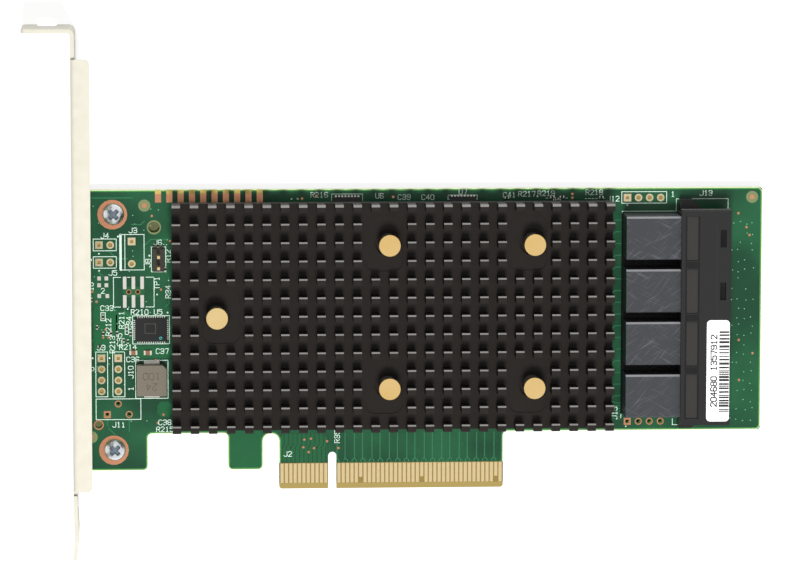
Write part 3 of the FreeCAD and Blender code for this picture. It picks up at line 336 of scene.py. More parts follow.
# pressed iron powder: flat warm grey, grainy
ironPowder = mottled("pressedIronPowder", "#625d51", "#797266", 0.18, 0.1, 0.6, bump=0.01)
ceramicBrown = mottled("firedCeramic", "#6b4a32", "#8d6a49", 0.5, 0.0, 0.5)
# silkscreen: thin pale ink, slightly uneven where the squeegee ran
silkInk = mottled("silkscreenInk", "#a9c9b5", "#dfeae2", 0.5, 0.0, 0.6)
# the same green mask over a copper track, which stands a little proud
trackGreen = mottled("maskOverTrack", "#1c5c39", "#276f46", 0.8, 0.0, 0.3, IOR=1.52)
darkTrack = mottled("maskOverGap", "#0b2c1a", "#103822", 0.8, 0.0, 0.35, IOR=1.5)
pourGreen = mottled("maskOverPour", "#164c2c", "#1d5835", 2.2, 0.0, 0.32, IOR=1.5, Specular_IOR_Level=0.3)
viaCover = mottled("maskOverVia", "#5f9a74", "#7db894", 0.4, 0.0, 0.5)
# copper and glue at the ends of the test pads, which the saw has smeared
sawnCopper = mottled("sawnCopper", "#bda04f", "#d2bd70", 0.5, 0.4, 0.5)
# laminate without mask: glass cloth in yellow-green resin, browner where the copper was etched off
edgeLaminate = mottled("laminateEdgeBand", "#d0d49a", "#e9ecc0", 1.2, 0.0, 0.5)
thinMask = mottled("thinMaskAtEdge", "#38733e", "#528f4c", 1.2, 0.0, 0.4)
tongueLaminate = mottled("laminateBetweenContacts", "#735f33", "#8f7a42", 0.6, 0.0, 0.5)
openLaminate = mottled("laminateInMaskOpening", "#5c6c49", "#7a7f58", 0.4, 0.0, 0.5)
oliveShade = mottled("shadeInToolingHole", "#4d4d37", "#5f5f43", 0.5, 0.0, 0.8)
# painted shade: the darkest plastic, laid in the gaps and cut lines of the housing; and the slightly brown,
# polished panels, whose plastic also draws painted highlights on a step and along the roof's top edge
paintedShadePlastic = mottled("paintedShadeBlack", "#050505", "#0b0b0b", 0.5, 0.0, 0.7)
panelAndHighlightPlastic = mottled("polishedPlasticAndPaintedHighlight", "#1f1e1c", "#282725", 0.8, 0.0, 0.4)
# laser marks are a shade lighter than what they are cut in; pin one has a teal dot
laserMark = mottled("laserMark", "#4b473e", "#5c574c", 0.3, 0.0, 0.7)
tealInk = mottled("tealInk", "#2b8f86", "#46b0a4", 0.2, 0.0, 0.5)
# nylon of the two-way header
headerPlastic = mottled("brownBlackNylon", "#2b2825", "#393530", 0.4, 0.0, 0.6, bump=0.006)
# painted shade: the screws' cross is coloured a darker blue-grey for the shade in its recess
paintedCrossShadeZinc = mottled("paintedCrossShadeZinc", "#5a6670", "#76828c", 0.5, 0.4, 0.5)
# the plated wall and solder at the bottom of a header's hole
platedHole = mottled("platedHole", "#86682f", "#b8954f", 0.35, 0.3, 0.5)
# painted shade: a nearly black disc at the bottom of each drilled hole that nothing fills
paintedHoleShade = mottled("paintedHoleShade", "#1c140d", "#2c2014", 0.4, 0.0, 0.8)

finishes = (
    (boardGreen, ["circuit_board"]),
    (hardGold, ["front_edge_contacts", "back_edge_contacts", "port_contacts", "header_posts"]),
    (paleGold, ["header_pads"]),
    (bareCopper, ["screw_ring_pads", "edge_test_pads"]),
    (zincSheet, ["bracket"]),
    (brightZinc, ["bracket_screws"]),
    (solder, ["solder_pads", "inductor_terminals", "chip_end_caps"]),
    (anodised, ["heat_sink"]),
    (turnedBrass, ["push_pins"]),
    (springWire, ["push_pin_springs"]),
    (packageLaminate, ["controller_substrate"]),
    (nickelLid, ["controller_lid"]),
    (gapFiller, ["thermal_pad"]),
    (mouldedEpoxy, ["flash_chips", "regulator_chip", "chip_resistors"]),
    (housingPlastic, ["connector_housing"]),
    (blockPlastic, ["terminal_block_1", "terminal_block_2", "terminal_block_3", "terminal_block_4"]),
    (labelFilm, ["barcode_label"]),
    (ironPowder, ["inductor_core"]),
    (headerPlastic, ["header_body"]),
    (ceramicBrown, ["chip_capacitors"]),
)
for material, nodes in finishes:
    for node in nodes:
        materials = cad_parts[node].data.materials
        materials.clear()
        materials.append(material)
print("finishes on the solids:", sum(len(nodes) for material, nodes in finishes))


# Heat sink: an extruded comb, cut across into pins, with five milled lands round the push pins
sink = {
    "left": 22.35, "bottom": 14.5, "length": 100.0, "height": 51.8,
    "seat": 2.8, "floor": 5.8, "top": 10.8,
    "pinLength": 1.9, "pinWidth": 1.7, "columns": 25, "rows": 13, "pinRoot": 0.05,
    "bevel": 0.34, "outerBevel": 0.52, "bevelAngle": 38,
    "crownStart": 0.5, "crownMiddle": 0.2, "crownDepth": 0.06,
    "landWidth": 8.6, "landHeight": 12.9, "landDepth": 0.3, "landRadius": 2.2,
    "seatRadius": 3.05, "seatDepth": 1.2, "holeRadius": 1.6,
}
pinPitchX = (sink["length"] - sink["pinLength"]) / (sink["columns"] - 1)
pinPitchY = (sink["height"] - sink["pinWidth"]) / (sink["rows"] - 1)
# each push pin has the column of the sink's pins on its right, and its x and y
pushPin = {
    "places": [(3, 32.45, 40.9), (12, 71.35, 57.2), (20, 104.15, 57.2), (12, 71.35, 24.6), (20, 104.15, 24.6)],
    "head": 2.5, "headTop": 12.2, "headBottom": 11.1, "rim": 0.28, "dish": 0.02, "shank": 1.35,
    "barb": [(0.95, -3.55), (1.85, -1.75), (1.85, -1.65), (1.3, -1.6)], "slit": 0.25,
}
spring = {"radius": 2.0, "wire": 0.5, "turns": 5, "bottom": 4.6, "perTurn": 28, "around": 8, "flatEnd": 0.12}


def landBox(column, y):
    middle = sink["left"] + sink["pinLength"] / 2 + (column - 0.5) * pinPitchX
    width, height = sink["landWidth"] / 2, sink["landHeight"] / 2
    return middle - width, y - height, middle + width, y + height


def roundedLoop(left, low, right, high, radius, steps=5):
    points = []
    for x, y, start in (
        (right - radius, low + radius, 270), (right - radius, high - radius, 0),
        (left + radius, high - radius, 90), (left + radius, low + radius, 180),
    ):
        for step in range(steps + 1):
            angle = math.radians(start + 90 * step / steps)
            points.append((x + radius * math.cos(angle), y + radius * math.sin(angle)))
    return points


def fillBetween(bm, loops):
    # a flat face with holes: the first loop is its rim
    edges = []
    for loop in loops:
        for start, end in zip(loop, loop[1:] + loop[:1]):
            edges.append(bm.edges.get((start, end)) or bm.edges.new((start, end)))
    bmesh.ops.triangle_fill(bm, use_beauty=True, edges=edges)


def pinProfile(low, high, bevel):
    # section across a pin: bevelled edges and the shallow crown that the extruding die leaves
    base, top = sink["floor"] - sink["pinRoot"], sink["top"]
    slope = math.tan(math.radians(sink["bevelAngle"]))
    return [
        (low, base), (low, top - sink["bevel"] * slope), (low + sink["bevel"], top - 0.01),
        (high - bevel - sink["crownStart"], top),
        (high - bevel - sink["crownMiddle"], top - sink["crownDepth"]),
        (high - bevel, top), (high, top - bevel * slope), (high, base),
    ]


def makeHeatSink():
    bm = bmesh.new()
    left, low, length, width = (sink[size] for size in ("left", "bottom", "pinLength", "pinWidth"))
    right, high = left + sink["length"], low + sink["height"]
    plate = [(left, low), (right, low), (right, high), (left, high)]
    floor, seat = loopAt(bm, plate, sink["floor"]), loopAt(bm, plate, sink["seat"])
    bridgeRings(bm, [seat, floor], closed=False)
    landLevel, ledgeLevel = sink["floor"] - sink["landDepth"], sink["floor"] - sink["seatDepth"]
    boxes, rims, outlets = [], [], []
    for column, x, y in pushPin["places"]:
        boxes.append(landBox(column, y))
        outline = roundedLoop(*boxes[-1], sink["landRadius"])
        bore, hole = circleLoop(x, y, sink["seatRadius"]), circleLoop(x, y, sink["holeRadius"])
        rim, land = loopAt(bm, outline, sink["floor"]), loopAt(bm, outline, landLevel)
        mouth, ledge = loopAt(bm, bore, landLevel), loopAt(bm, bore, ledgeLevel)
        inner, outlet = loopAt(bm, hole, ledgeLevel), loopAt(bm, hole, sink["seat"])
        bridgeRings(bm, [land, rim], closed=False)
        bridgeRings(bm, [outlet, inner, ledge, mouth], closed=False)
        fillBetween(bm, [land, mouth])
        rims.append(rim)
        outlets.append(outlet)
    fillBetween(bm, [floor] + rims)
    fillBetween(bm, [seat] + outlets)
    for column in range(sink["columns"]):
        for row in range(sink["rows"]):
            pinLeft, pinLow = left + column * pinPitchX, low + row * pinPitchY
            pinRight, pinHigh = pinLeft + length, pinLow + width
            if any(
                pinRight > box[0] and pinLeft < box[2] and pinHigh > box[1] and pinLow < box[3] for box in boxes
            ):
                continue
            profile = pinProfile(pinLow, pinHigh, sink["outerBevel" if row == sink["rows"] - 1 else "bevel"])
            rings = [[bm.verts.new((x, y, z)) for y, z in profile] for x in (pinLeft, pinRight)]
            bridgeRings(bm, rings)[5].material_index = 1    # the bevel that faces the board's top edge takes the painted highlight
    piece = makePiece("pinFinHeatSink", bm, anodised, second=paintedGlintEdge)
    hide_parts("heat_sink")


def makePushPins():
    bm = bmesh.new()
    radius, top, bottom, rim = (pushPin[size] for size in ("head", "headTop", "headBottom", "rim"))
    shank, slit, dish = pushPin["shank"], pushPin["slit"], top - pushPin["dish"]
    for column, x, y in pushPin["places"]:
        addTurned(bm, x, y, [
            (shank, -1.6), (shank, bottom), (radius - 0.1, bottom), (radius, bottom + 0.1), (radius, top - rim),
            (radius - rim * 0.3, top - rim * 0.3), (radius - rim, top), (radius * 0.55, dish), (0.12, dish),
        ], sides=48)
        # the split barb under the board: two halves of a tapered arrow head
        for side in (-1, 1):
            rings = []
            for reach, z in pushPin["barb"]:
                turns = [math.pi * (step / 8 - 0.5) for step in range(9)]
                points = [(max(slit, reach * math.cos(turn)), reach * math.sin(turn)) for turn in turns]
                points = [(slit, -reach * 0.97), *points, (slit, reach * 0.97)]
                rings.append(loopAt(bm, [(x + side * across, y + along) for across, along in points], z))
            bridgeRings(bm, rings)
    piece = makePiece("turnedPushPins", bm, turnedBrass, smooth=True)
    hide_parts("push_pins")


def makeSprings():
    # round wire with closed ends, between the counterbore and the head
    bm = bmesh.new()
    radius, wire, perTurn, flatEnd = (spring[size] for size in ("radius", "wire", "perTurn", "flatEnd"))
    bottom, top = spring["bottom"] + wire / 2, pushPin["headBottom"] - wire / 2
    steps = spring["turns"] * perTurn
    upward = Vector((0, 0, 1))
    turns = [2 * math.pi * turn / spring["around"] for turn in range(spring["around"])]
    for column, x, y in pushPin["places"]:
        rings = []
        for step in range(steps + 1):
            rise = min(max((step / steps - flatEnd) / (1 - 2 * flatEnd), 0), 1)
            angle = 2 * math.pi * step / perTurn
            outward = Vector((math.cos(angle), math.sin(angle), 0))
            centre = Vector((
                x + radius * math.cos(angle), y + radius * math.sin(angle), bottom + (top - bottom) * rise,
            ))
            rings.append([
                bm.verts.new(centre + (outward * math.cos(turn) + upward * math.sin(turn)) * wire / 2)
                for turn in turns
            ])
        bridgeRings(bm, rings)
    piece = makePiece("coilSprings", bm, springWire, smooth=True)
    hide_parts("push_pin_springs")


makeHeatSink()
makePushPins()
makeSprings()
print("heat sink, pins and springs")


# Pan head screws: a domed head with a punched cross, turned by 45 degrees
screw = {
    "places": [(9.2, 63.42), (9.2, 9.42)], "radius": 2.55, "bottom": 0.05, "top": 1.95, "rounding": 2.3,
    "armWidth": 0.8, "armReach": 1.45, "armDepth": 0.7, "sideSlope": 0.14, "endSlope": 0.4,
    "shank": [(1.25, -3.9), (1.45, -3.7), (1.45, 0.1)], "rows": 44, "sides": 128,
}


def crossShare(x, y):
    # 1 in the punched cross, 0 outside it
    across, along = abs(x + y) / math.sqrt(2), abs(x - y) / math.sqrt(2)
    slope = screw["sideSlope"]
    side = (screw["armWidth"] / 2 + slope / 2 - min(across, along)) / slope
    end = (screw["armReach"] - max(across, along)) / screw["endSlope"]
    return min(max(side, 0), 1) * min(max(end, 0), 1)


def screwHeight(x, y):
    share = min(math.hypot(x, y) / screw["radius"], 1.0)
    dome = screw["bottom"] + (screw["top"] - screw["bottom"]) * (1 - share ** screw["rounding"]) ** 0.5
    return dome - screw["armDepth"] * crossShare(x, y)


def makeScrews():
    bm = bmesh.new()
    for x, y in screw["places"]:
        rings = []
        for row in range(screw["rows"]):
            ring = circleLoop(0.0, 0.0, screw["radius"] * (1 - row / screw["rows"]), screw["sides"])
            rings.append([
                bm.verts.new((x + across, y + along, screwHeight(across, along))) for across, along in ring
            ])
        # faces inside the cross take the darker colour, painted shade for the recess
        for face in bridgeRings(bm, rings):
            middle = face.calc_center_median()
            if crossShare(middle.x - x, middle.y - y) > 0.45:
                face.material_index = 1
        addTurned(bm, x, y, screw["shank"], sides=24)
    piece = makePiece("panHeadScrews", bm, brightZinc, smooth=True, second=paintedCrossShadeZinc)
    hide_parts("bracket_screws")


makeScrews()
print("screws")


# Board print and plating on the component face: first the plated holes of the headers that are not fitted
pads = {
    "square": [(5.88, 56.37), (5.88, 52.4), (13.29, 57.17), (6.26, 30.45), (10.08, 30.45),
               (126.2, 66.62), (126.5, 15.05), (7.51, 17.5)],
    "round": [(8.43, 56.37), (8.43, 52.4), (13.29, 52.06), (12.48, 17.5), (9.995, 19.94)],
    "rowStarts": [(6.26, 30.45, 0, -1), (10.08, 30.45, 0, -1), (126.2, 66.62, 1, 0), (126.5, 15.05, 1, 0)],
    "copperOnly": [(7.51, 17.5), (12.48, 17.5), (9.995, 19.94)],
    "copperRow": 15.05,    # the header at this height has bare copper pads too
    "radius": 0.87, "hole": 0.52, "pitch": 2.54, "top": 0.055,
}
for step in (1, 2, 3):
    rise = step * pads["pitch"]
    pads["round"] += [(x + rise * across, y + rise * along) for x, y, across, along in pads["rowStarts"]]


def makeHeaderPads():
    gold, copper, holes, fills = newMeshes(4)
    for x, y in pads["square"] + pads["round"]:
        bare = (x, y) in pads["copperOnly"] or y == pads["copperRow"]
        target = copper if bare else gold
        outer, inner = pads["radius"] * (0.92 if bare else 1.0), pads["hole"] * (1.15 if bare else 0.95)
        if (x, y) in pads["square"]:
            near = inner * 0.7
            for left, low, right, high in (
                (-outer, -outer, -near, outer), (near, -outer, outer, outer),
                (-near, -outer, near, -near), (-near, near, near, outer),
            ):
                addBlock(target, x + left, y + low, x + right, y + high, 0.0, pads["top"] - 0.003)
        addRing(target, x, y, inner, outer, 0.0, pads["top"])
        # plated wall of the hole, a disc at its bottom (solder in filled holes, a dark disc of painted shade in
        # bare ones), and the pad's other side
        addRing(target, x, y, inner - 0.03, inner + 0.03, -1.5, 0.03, sides=20)
        addDisc(holes if bare else fills, x, y, inner, -1.54, -1.5 if bare else -0.3, sides=16)
        addRing(target, x, y, inner, outer, -1.62, -1.565)
    piece = makePiece("platedPads", gold, paleGold)
    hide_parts("header_pads")
    makePiece("copperPads", copper, bareCopper)
    makePiece("padBores", holes, paintedHoleShade)
    makePiece("padFills", fills, platedHole)


makeHeaderPads()

vias = {
    "bare": [
        (17.9, 62.95), (19.4, 55.6), (22.0, 57.2), (19.9, 46.1), (6.4, 39.6), (6.7, 35.2), (7.9, 35.2),
        (20.3, 17.4), (19.0, 15.5), (18.6, 29.9), (4.3, 45.7), (5.2, 43.4), (7.3, 37.0),
        (52.0, 66.7), (55.2, 67.2), (113.6, 67.5), (113.6, 66.6), (52.2, 9.6), (53.4, 8.5), (54.6, 9.4),
        (53.9, 11.6), (52.4, 11.4), (57.6, 11.0), (60.2, 9.4), (72.7, 67.0),
        (151.66, 62.93), (153.53, 59.71), (154.27, 57.91), (152.02, 33.73), (155.23, 30.65), (152.18, 24.44),
    ],
    "marks": [(16.21, 65.33), (154.79, 66.67), (3.92, 12.32)], "markRadius": 0.55, "openingRadius": 1.38,
    "radius": 0.3, "covered": 0.13, "scattered": 46,
    "rows": 22, "rowPitch": 2.15, "columns": 4, "columnPitch": 1.55,
}


def makeVias():
    copper, covered = newMeshes(2)
    radius, tiny = vias["radius"], vias["covered"]
    for x, y in vias["bare"]:
        addTurned(copper, x, y, [(radius, 0.0), (radius * 0.8, 0.03)], sides=12)
    for x, y in vias["marks"]:
        addDisc(copper, x, y, vias["markRadius"], 0.0, 0.035)
    # covered vias in loose rows between the connector and the board's end, and along the left strip
    for row in range(vias["rows"]):
        y = 15.5 + row * vias["rowPitch"]
        for column in range(vias["columns"]):
            x = 150.3 + column * vias["columnPitch"] + random.uniform(-0.35, 0.35)
            if random.random() < 0.72:
                addDisc(covered, x, y + random.uniform(-0.5, 0.5), tiny, 0.0, 0.02, sides=8)
    for index in range(vias["scattered"]):
        x, y = random.uniform(3.5, 21.5), random.uniform(15, 66)
        addDisc(covered, x, y, tiny, 0.0, 0.012, sides=8)
    makePiece("bareVias", copper, bareCopper)
    makePiece("coveredVias", covered, viaCover)


# open holes are drawn as dark discs of painted shade with a rim of bare laminate
openHoles = {
    "tooling": (18.36, 60.36, 1.34), "corner": (5.55, 15.11, 0.9), "links": [(12.57, 45.62), (14.63, 45.62)],
}


def makeHoleShades():
    dark, rims, copper, bores = newMeshes(4)
    x, y, radius = openHoles["tooling"]
    addDisc(dark, x, y, radius, -1.5, -1.4, sides=36)
    addRing(rims, x, y, radius - 0.04, 1.62, 0.0, 0.012, sides=36)
    x, y, radius = openHoles["corner"]
    addDisc(dark, x, y, radius, -1.5, -1.0, sides=28)
    addRing(copper, x, y, radius - 0.02, 1.16, 0.0, 0.04)
    for x, y in openHoles["links"]:
        addDisc(bores, x, y, 0.42, -1.5, 0.02)
        addRing(copper, x, y, 0.42, 0.56, 0.0, 0.03, sides=20)
    for x, y in vias["marks"]:
        addRing(rims, x, y, vias["markRadius"], vias["openingRadius"], 0.0, 0.01, sides=32)
    makePiece("shadedHoles", dark, oliveShade)
    makePiece("maskOpenings", rims, openLaminate)
    makePiece("holeRings", copper, bareCopper)
    makePiece("linkBores", bores, paintedHoleShade)


makeVias()
makeHoleShades()

# Edge of the board: the mask stops short of the routed outline and leaves a band of bare laminate
boardEdge = {
    "bare": 0.12, "thin": 0.42, "tongues": [(46.75, 57.75), (59.85, 97.85)],
    "tip": 0.95, "padLeft": 18.64, "padWidth": 1.38, "padPitch": 2.562, "padCount": 10, "boardTop": 68.9,
    "corners": [
        (1.55, 68.9, 0.0), (157.15, 68.9, 1.2), (157.15, 13.0, 1.2), (97.95, 13.0, 1.0), (97.95, 6.0, 0.0),
    ],
    "lowerCorners": [
        (46.65, 6.0, 0.0), (46.65, 12.8, 1.7), (42.94, 12.8, 1.7), (42.94, 4.55, 1.1), (34.98, 4.55, 1.1),
        (34.98, 13.0, 1.0), (16.71, 13.0, 1.0), (16.71, 4.55, 1.1), (1.55, 4.55, 0.0),
    ],
}


def roundedPath(corners, steps=5):
    # points along a line of corners (x, y, radius), each corner rounded by its radius
    path = []
    for index, (x, y, radius) in enumerate(corners):
        if radius == 0:
            path.append((x, y))
            continue
        here = Vector((x, y))
        back = (Vector(corners[index - 1][:2]) - here).normalized()
        ahead = (Vector(corners[index + 1][:2]) - here).normalized()
        centre = here + (back + ahead) * radius
        for step in range(steps + 1):
            turn = math.pi / 2 * step / steps
            point = centre - ahead * radius * math.cos(turn) - back * radius * math.sin(turn)
            path.append((point.x, point.y))
    return path


def makeBareEdge():
    bare, thin, tongue, tips = newMeshes(4)
    for corners in (boardEdge["corners"], boardEdge["lowerCorners"]):
        addRibbon(bare, roundedPath(corners), 0.0, boardEdge["bare"], 0.0, 0.008)
        addRibbon(thin, roundedPath(corners), boardEdge["bare"], boardEdge["thin"], 0.0, 0.007)
    makePiece("bareEdgeBand", bare, edgeLaminate)
    makePiece("thinMaskBand", thin, thinMask)
    for left, right in boardEdge["tongues"]:
        addBlock(tongue, left, 1.3, right, 6.0, 0.0, 0.012)
    makePiece("bareTongue", tongue, tongueLaminate)
    high = boardEdge["boardTop"]
    for index in range(boardEdge["padCount"]):
        left = boardEdge["padLeft"] + index * boardEdge["padPitch"]
        addBlock(tips, left, high - boardEdge["tip"], left + boardEdge["padWidth"], high, 0.0, 0.08)
    makePiece("testPadTips", tips, sawnCopper)


makeBareEdge()


# Copper under the mask: lighter pours and tracks
tracks = {
    "width": 0.2, "bundleWidth": 0.16, "top": 0.012, "start": 5.95, "end": 12.8,
    "firstContact": 47.3, "beforeKey": 11, "afterKey": 60.3, "contacts": 38,
    "pours": [
        (4.5, 30.9, 9.9, 42.4), (18.9, 16.9, 22.3, 20.4), (11.3, 44.5, 16.2, 46.8), (13.6, 30.4, 22.3, 33.2),
        (46.95, 6.3, 57.5, 12.7), (9.6, 32.4, 13.4, 41.2), (35.4, 4.9, 42.5, 14.4),
    ],
    "pourCorner": 0.9, "pourTop": 0.006,
    "links": [
        [(8.43, 55.4), (8.43, 54.6), (10.2, 53.2), (12.3, 53.2)], [(5.88, 51.4), (5.88, 50.0), (6.9, 49.2)],
        [(3.1, 48.0), (3.1, 34.0), (4.2, 32.9)], [(3.6, 47.0), (3.6, 35.2), (4.4, 34.4)],
        [(11.65, 42.0), (11.65, 41.0), (12.6, 40.0), (13.9, 40.0)], [(15.61, 42.0), (15.61, 40.4)],
        [(10.08, 31.4), (11.4, 32.7), (11.4, 33.8)], [(16.0, 56.0), (17.6, 57.6), (21.5, 57.6)],
        [(7.51, 16.6), (7.51, 14.6), (9.2, 12.9)], [(12.48, 16.6), (12.48, 13.6)],
        [(13.3, 61.0), (15.4, 61.0), (16.2, 61.8)],
        [(3.0, 60.5), (3.0, 66.0), (4.1, 67.1), (13.5, 67.1)], [(20.9, 42.2), (21.7, 43.0), (21.7, 49.0)],
    ],
}


def makePours():
    bm = bmesh.new()
    corner = tracks["pourCorner"]
    for left, low, right, high in tracks["pours"]:
        outline = [
            (left + corner, low), (right - corner, low), (right, low + corner), (right, high - corner),
            (right - corner, high), (left + corner, high), (left, high - corner), (left, low + corner),
        ]
        bridgeRings(bm, [loopAt(bm, outline, z) for z in (0.0, tracks["pourTop"])])
    makePiece("copperPours", bm, pourGreen)


def makeTracks():
    light, dark = newMeshes(2)
    width, top, start, end = (tracks[size] for size in ("width", "top", "start", "end"))
    # fan-out above the contacts: light tracks after the key, dark gaps before it
    for contact in range(tracks["contacts"]):
        x = tracks["afterKey"] + contact
        aside = x + (0.42 if contact % 2 else -0.42)
        path = [(x, start), (x, start + 0.55), (aside, start + 1.0)]
        if contact % 4 < 2:
            path.append((aside, end))
        addStroke(light, path, width, 0.0, top)
    for contact in range(tracks["beforeKey"]):
        x = tracks["firstContact"] + contact
        addStroke(dark, [(x, start), (x, 9.5), (x + 0.5, 10.3), (x + 0.5, end)], width, 0.0, top)
    # bundles that leave the connector for the controller, seen beside the heat sink
    for index in range(7):
        y = 15.6 + index * 0.62
        addStroke(light, [(122.6, y + 0.4), (124.0, y), (125.0, y)], tracks["bundleWidth"], 0.0, top)
    for index in range(16):
        y = 60.6 - index * 2.7
        addStroke(light, [(122.5, y), (123.6, y + 0.9), (125.0, y + 0.9)], tracks["bundleWidth"], 0.0, top)
    # the left strip's short links between pads and parts
    for path in tracks["links"]:
        addStroke(light, path, width, 0.0, top)
    makePiece("lightTracks", light, trackGreen)
    makePiece("darkTracks", dark, darkTrack)


makePours()
makeTracks()
print("pads, vias, edge, pours and tracks")


# Silkscreen: boxes, lines, dots and designators, which are generic
silk = {
    "line": 0.15, "top": 0.03, "letterHeight": 1.12,
    "boxes": [
        (10.58, 50.66, 16.11, 58.75), (4.59, 55.07, 9.8, 57.75), (4.59, 51.1, 9.8, 53.71),
        (4.97, 21.6, 7.65, 31.9), (8.82, 21.57, 11.54, 31.9), (4.97, 16.34, 15.15, 21.09),
        (14.01, 21.17, 21.37, 29.9), (13.4, 33.7, 21.75, 40.15), (124.9, 65.35, 135.17, 67.98),
        (17.75, 50.2, 21.0, 55.9), (6.2, 39.1, 7.2, 40.9), (11.7, 35.9, 12.5, 38.2),
    ],
    "thickLine": [(10.85, 50.66), (10.85, 58.75)],
    # the header's side, a six-way switch, two flash chips and the connector
    "lines": [
        [(11.75, 50.66), (11.75, 58.75)],
        [(10.7, 48.98), (9.11, 48.98), (9.11, 42.17), (10.7, 42.17)],
        [(16.5, 48.98), (18.31, 48.98), (18.31, 42.17), (16.5, 42.17)], [(12.3, 48.98), (12.9, 48.98)],
        [(58.7, 66.3), (58.7, 67.75), (65.75, 67.75), (65.75, 66.3)],
        [(85.2, 66.4), (91.87, 66.4), (91.87, 67.4), (85.2, 67.4), (85.2, 66.4)],
        [(125.03, 15.9), (125.03, 63.5), (137.39, 63.5), (137.39, 66.3), (149.28, 66.3), (149.28, 63.94)],
        [(136.9, 15.6), (136.9, 14.2), (138.1, 14.2)],
    ],
    "dashes": [(107.6, 66.6, 0.9, 0.35), (116.5, 66.45, 0.8, 0.4)],    # x, y, pitch and length
    "dots": [
        (126.18, 64.92, 0.2), (17.3, 53.9, 0.22), (10.2, 58.3, 0.22), (4.25, 30.5, 0.2), (8.1, 30.5, 0.2),
        (21.35, 40.85, 0.2), (5.88, 54.4, 0.18), (5.88, 50.5, 0.18), (21.6, 48.2, 0.14), (19.0, 45.0, 0.18),
        (12.3, 41.7, 0.18), (20.6, 56.4, 0.12), (21.2, 56.4, 0.12), (49.6, 66.7, 0.22), (51.0, 66.7, 0.22),
        (105.6, 67.0, 0.2), (126.2, 13.9, 0.16),
    ],
    "texts": [
        ("J3", 13.6, 59.7, 0), ("J4", 7.2, 58.5, 0), ("J5", 9.0, 50.0, 0), ("J6", 19.2, 56.9, 0),
        ("J8", 16.95, 52.2, 90), ("R12", 21.5, 53.8, 90), ("R34", 21.5, 45.6, 90), ("TP1", 18.95, 47.6, 90),
        ("R210", 15.0, 41.0, 0), ("U5", 19.2, 41.0, 0), ("C33", 7.6, 41.95, 0), ("R211", 10.9, 39.2, 90),
        ("C34", 12.6, 38.5, 90), ("R212", 7.9, 37.6, 90), ("C35", 10.4, 34.7, 90), ("R213", 8.75, 33.6, 90),
        ("R214", 12.3, 33.0, 0), ("C36", 13.4, 30.15, 0), ("C37", 20.1, 32.0, 0), ("J9", 6.2, 32.9, 0),
        ("J10", 12.9, 27.2, 90), ("1", 12.9, 23.4, 90), ("J11", 10.1, 15.15, 0), ("C38", 20.6, 15.6, 0),
        ("R215", 20.6, 14.0, 0), ("1", 3.6, 53.0, 90), ("J12", 122.9, 66.4, 0), ("J13", 144.2, 67.6, 0),
        ("U6", 69.6, 67.3, 0), ("U7", 88.6, 68.15, 0), ("R216", 55.9, 67.6, 0), ("C39", 75.2, 67.0, 0),
        ("C40", 80.6, 66.95, 0), ("C41", 99.2, 67.4, 0), ("R217", 103.2, 67.6, 0), ("R218", 118.6, 67.9, 0),
        ("R219", 107.6, 67.7, 0), ("J2", 48.6, 8.1, 0), ("R35", 59.9, 12.0, 90), ("1", 136.6, 67.4, 0),
        ("0", 4.0, 28.0, 90), ("J15", 123.6, 17.0, 90), ("10", 4.0, 46.9, 90), ("2", 6.7, 45.9, 0),
    ],
}

# Letters of the screen printer's plotter: lines between points of a grid 4 wide and 6 high
strokes = {
    "C": "45 36 16 05 01 10 30 41", "J": "46 41 30 10 01", "P": "00 06 36 45 44 33 03",
    "R": "00 06 36 45 44 33 03|23 40", "T": "06 46|26 20", "U": "06 01 10 30 41 46",
    "0": "10 01 05 16 36 45 41 30 10", "1": "15 26 20|10 30", "2": "05 16 36 45 44 00 40",
    "3": "05 16 36 45 44 33 13|33 42 41 30 10 01", "4": "30 36 02 42", "5": "46 06 04 34 43 41 30 10 01",
    "6": "45 36 16 05 01 10 30 41 42 33 03", "7": "06 46 20",
    "8": "13 04 05 16 36 45 44 33 13 02 01 10 30 41 42 33", "9": "01 10 30 41 45 36 16 05 04 13 43",
}


def addText(bm, text, x, y, turn, bottom, top, height, line):
    # the text's middle lies on x and y; turn is in degrees
    unit = height / 6
    advance = 5.5 * unit
    start = -(len(text) * advance - 1.5 * unit) / 2
    cosine, sine = math.cos(math.radians(turn)), math.sin(math.radians(turn))
    for place, letter in enumerate(text):
        for run in strokes.get(letter, "").split("|"):
            points = []
            for pair in run.split():
                across = start + place * advance + int(pair[0]) * unit
                along = (int(pair[1]) - 3) * unit
                points.append((x + across * cosine - along * sine, y + across * sine + along * cosine))
            addStroke(bm, points, line, bottom, top)


def makeSilkscreen():
    bm = bmesh.new()
    width, top = silk["line"], silk["top"]
    for box in silk["boxes"]:
        addOutline(bm, *box, width, 0.0, top)
    addStroke(bm, silk["thickLine"], width * 2.4, 0.0, top)
    for path in silk["lines"]:
        addStroke(bm, path, width, 0.0, top)
    for index in range(6):
        for start, y, pitch, length in silk["dashes"]:
            x = start + index * pitch
            addStroke(bm, [(x, y), (x + length, y)], width, 0.0, top)
    for x, y, radius in silk["dots"]:
        addDisc(bm, x, y, radius, 0.0, top, sides=12)
    for text, x, y, turn in silk["texts"]:
        addText(bm, text, x, y, turn, 0.0, top, silk["letterHeight"], width)
    makePiece("silkscreenPrint", bm, silkInk)


makeSilkscreen()
print("silkscreen")


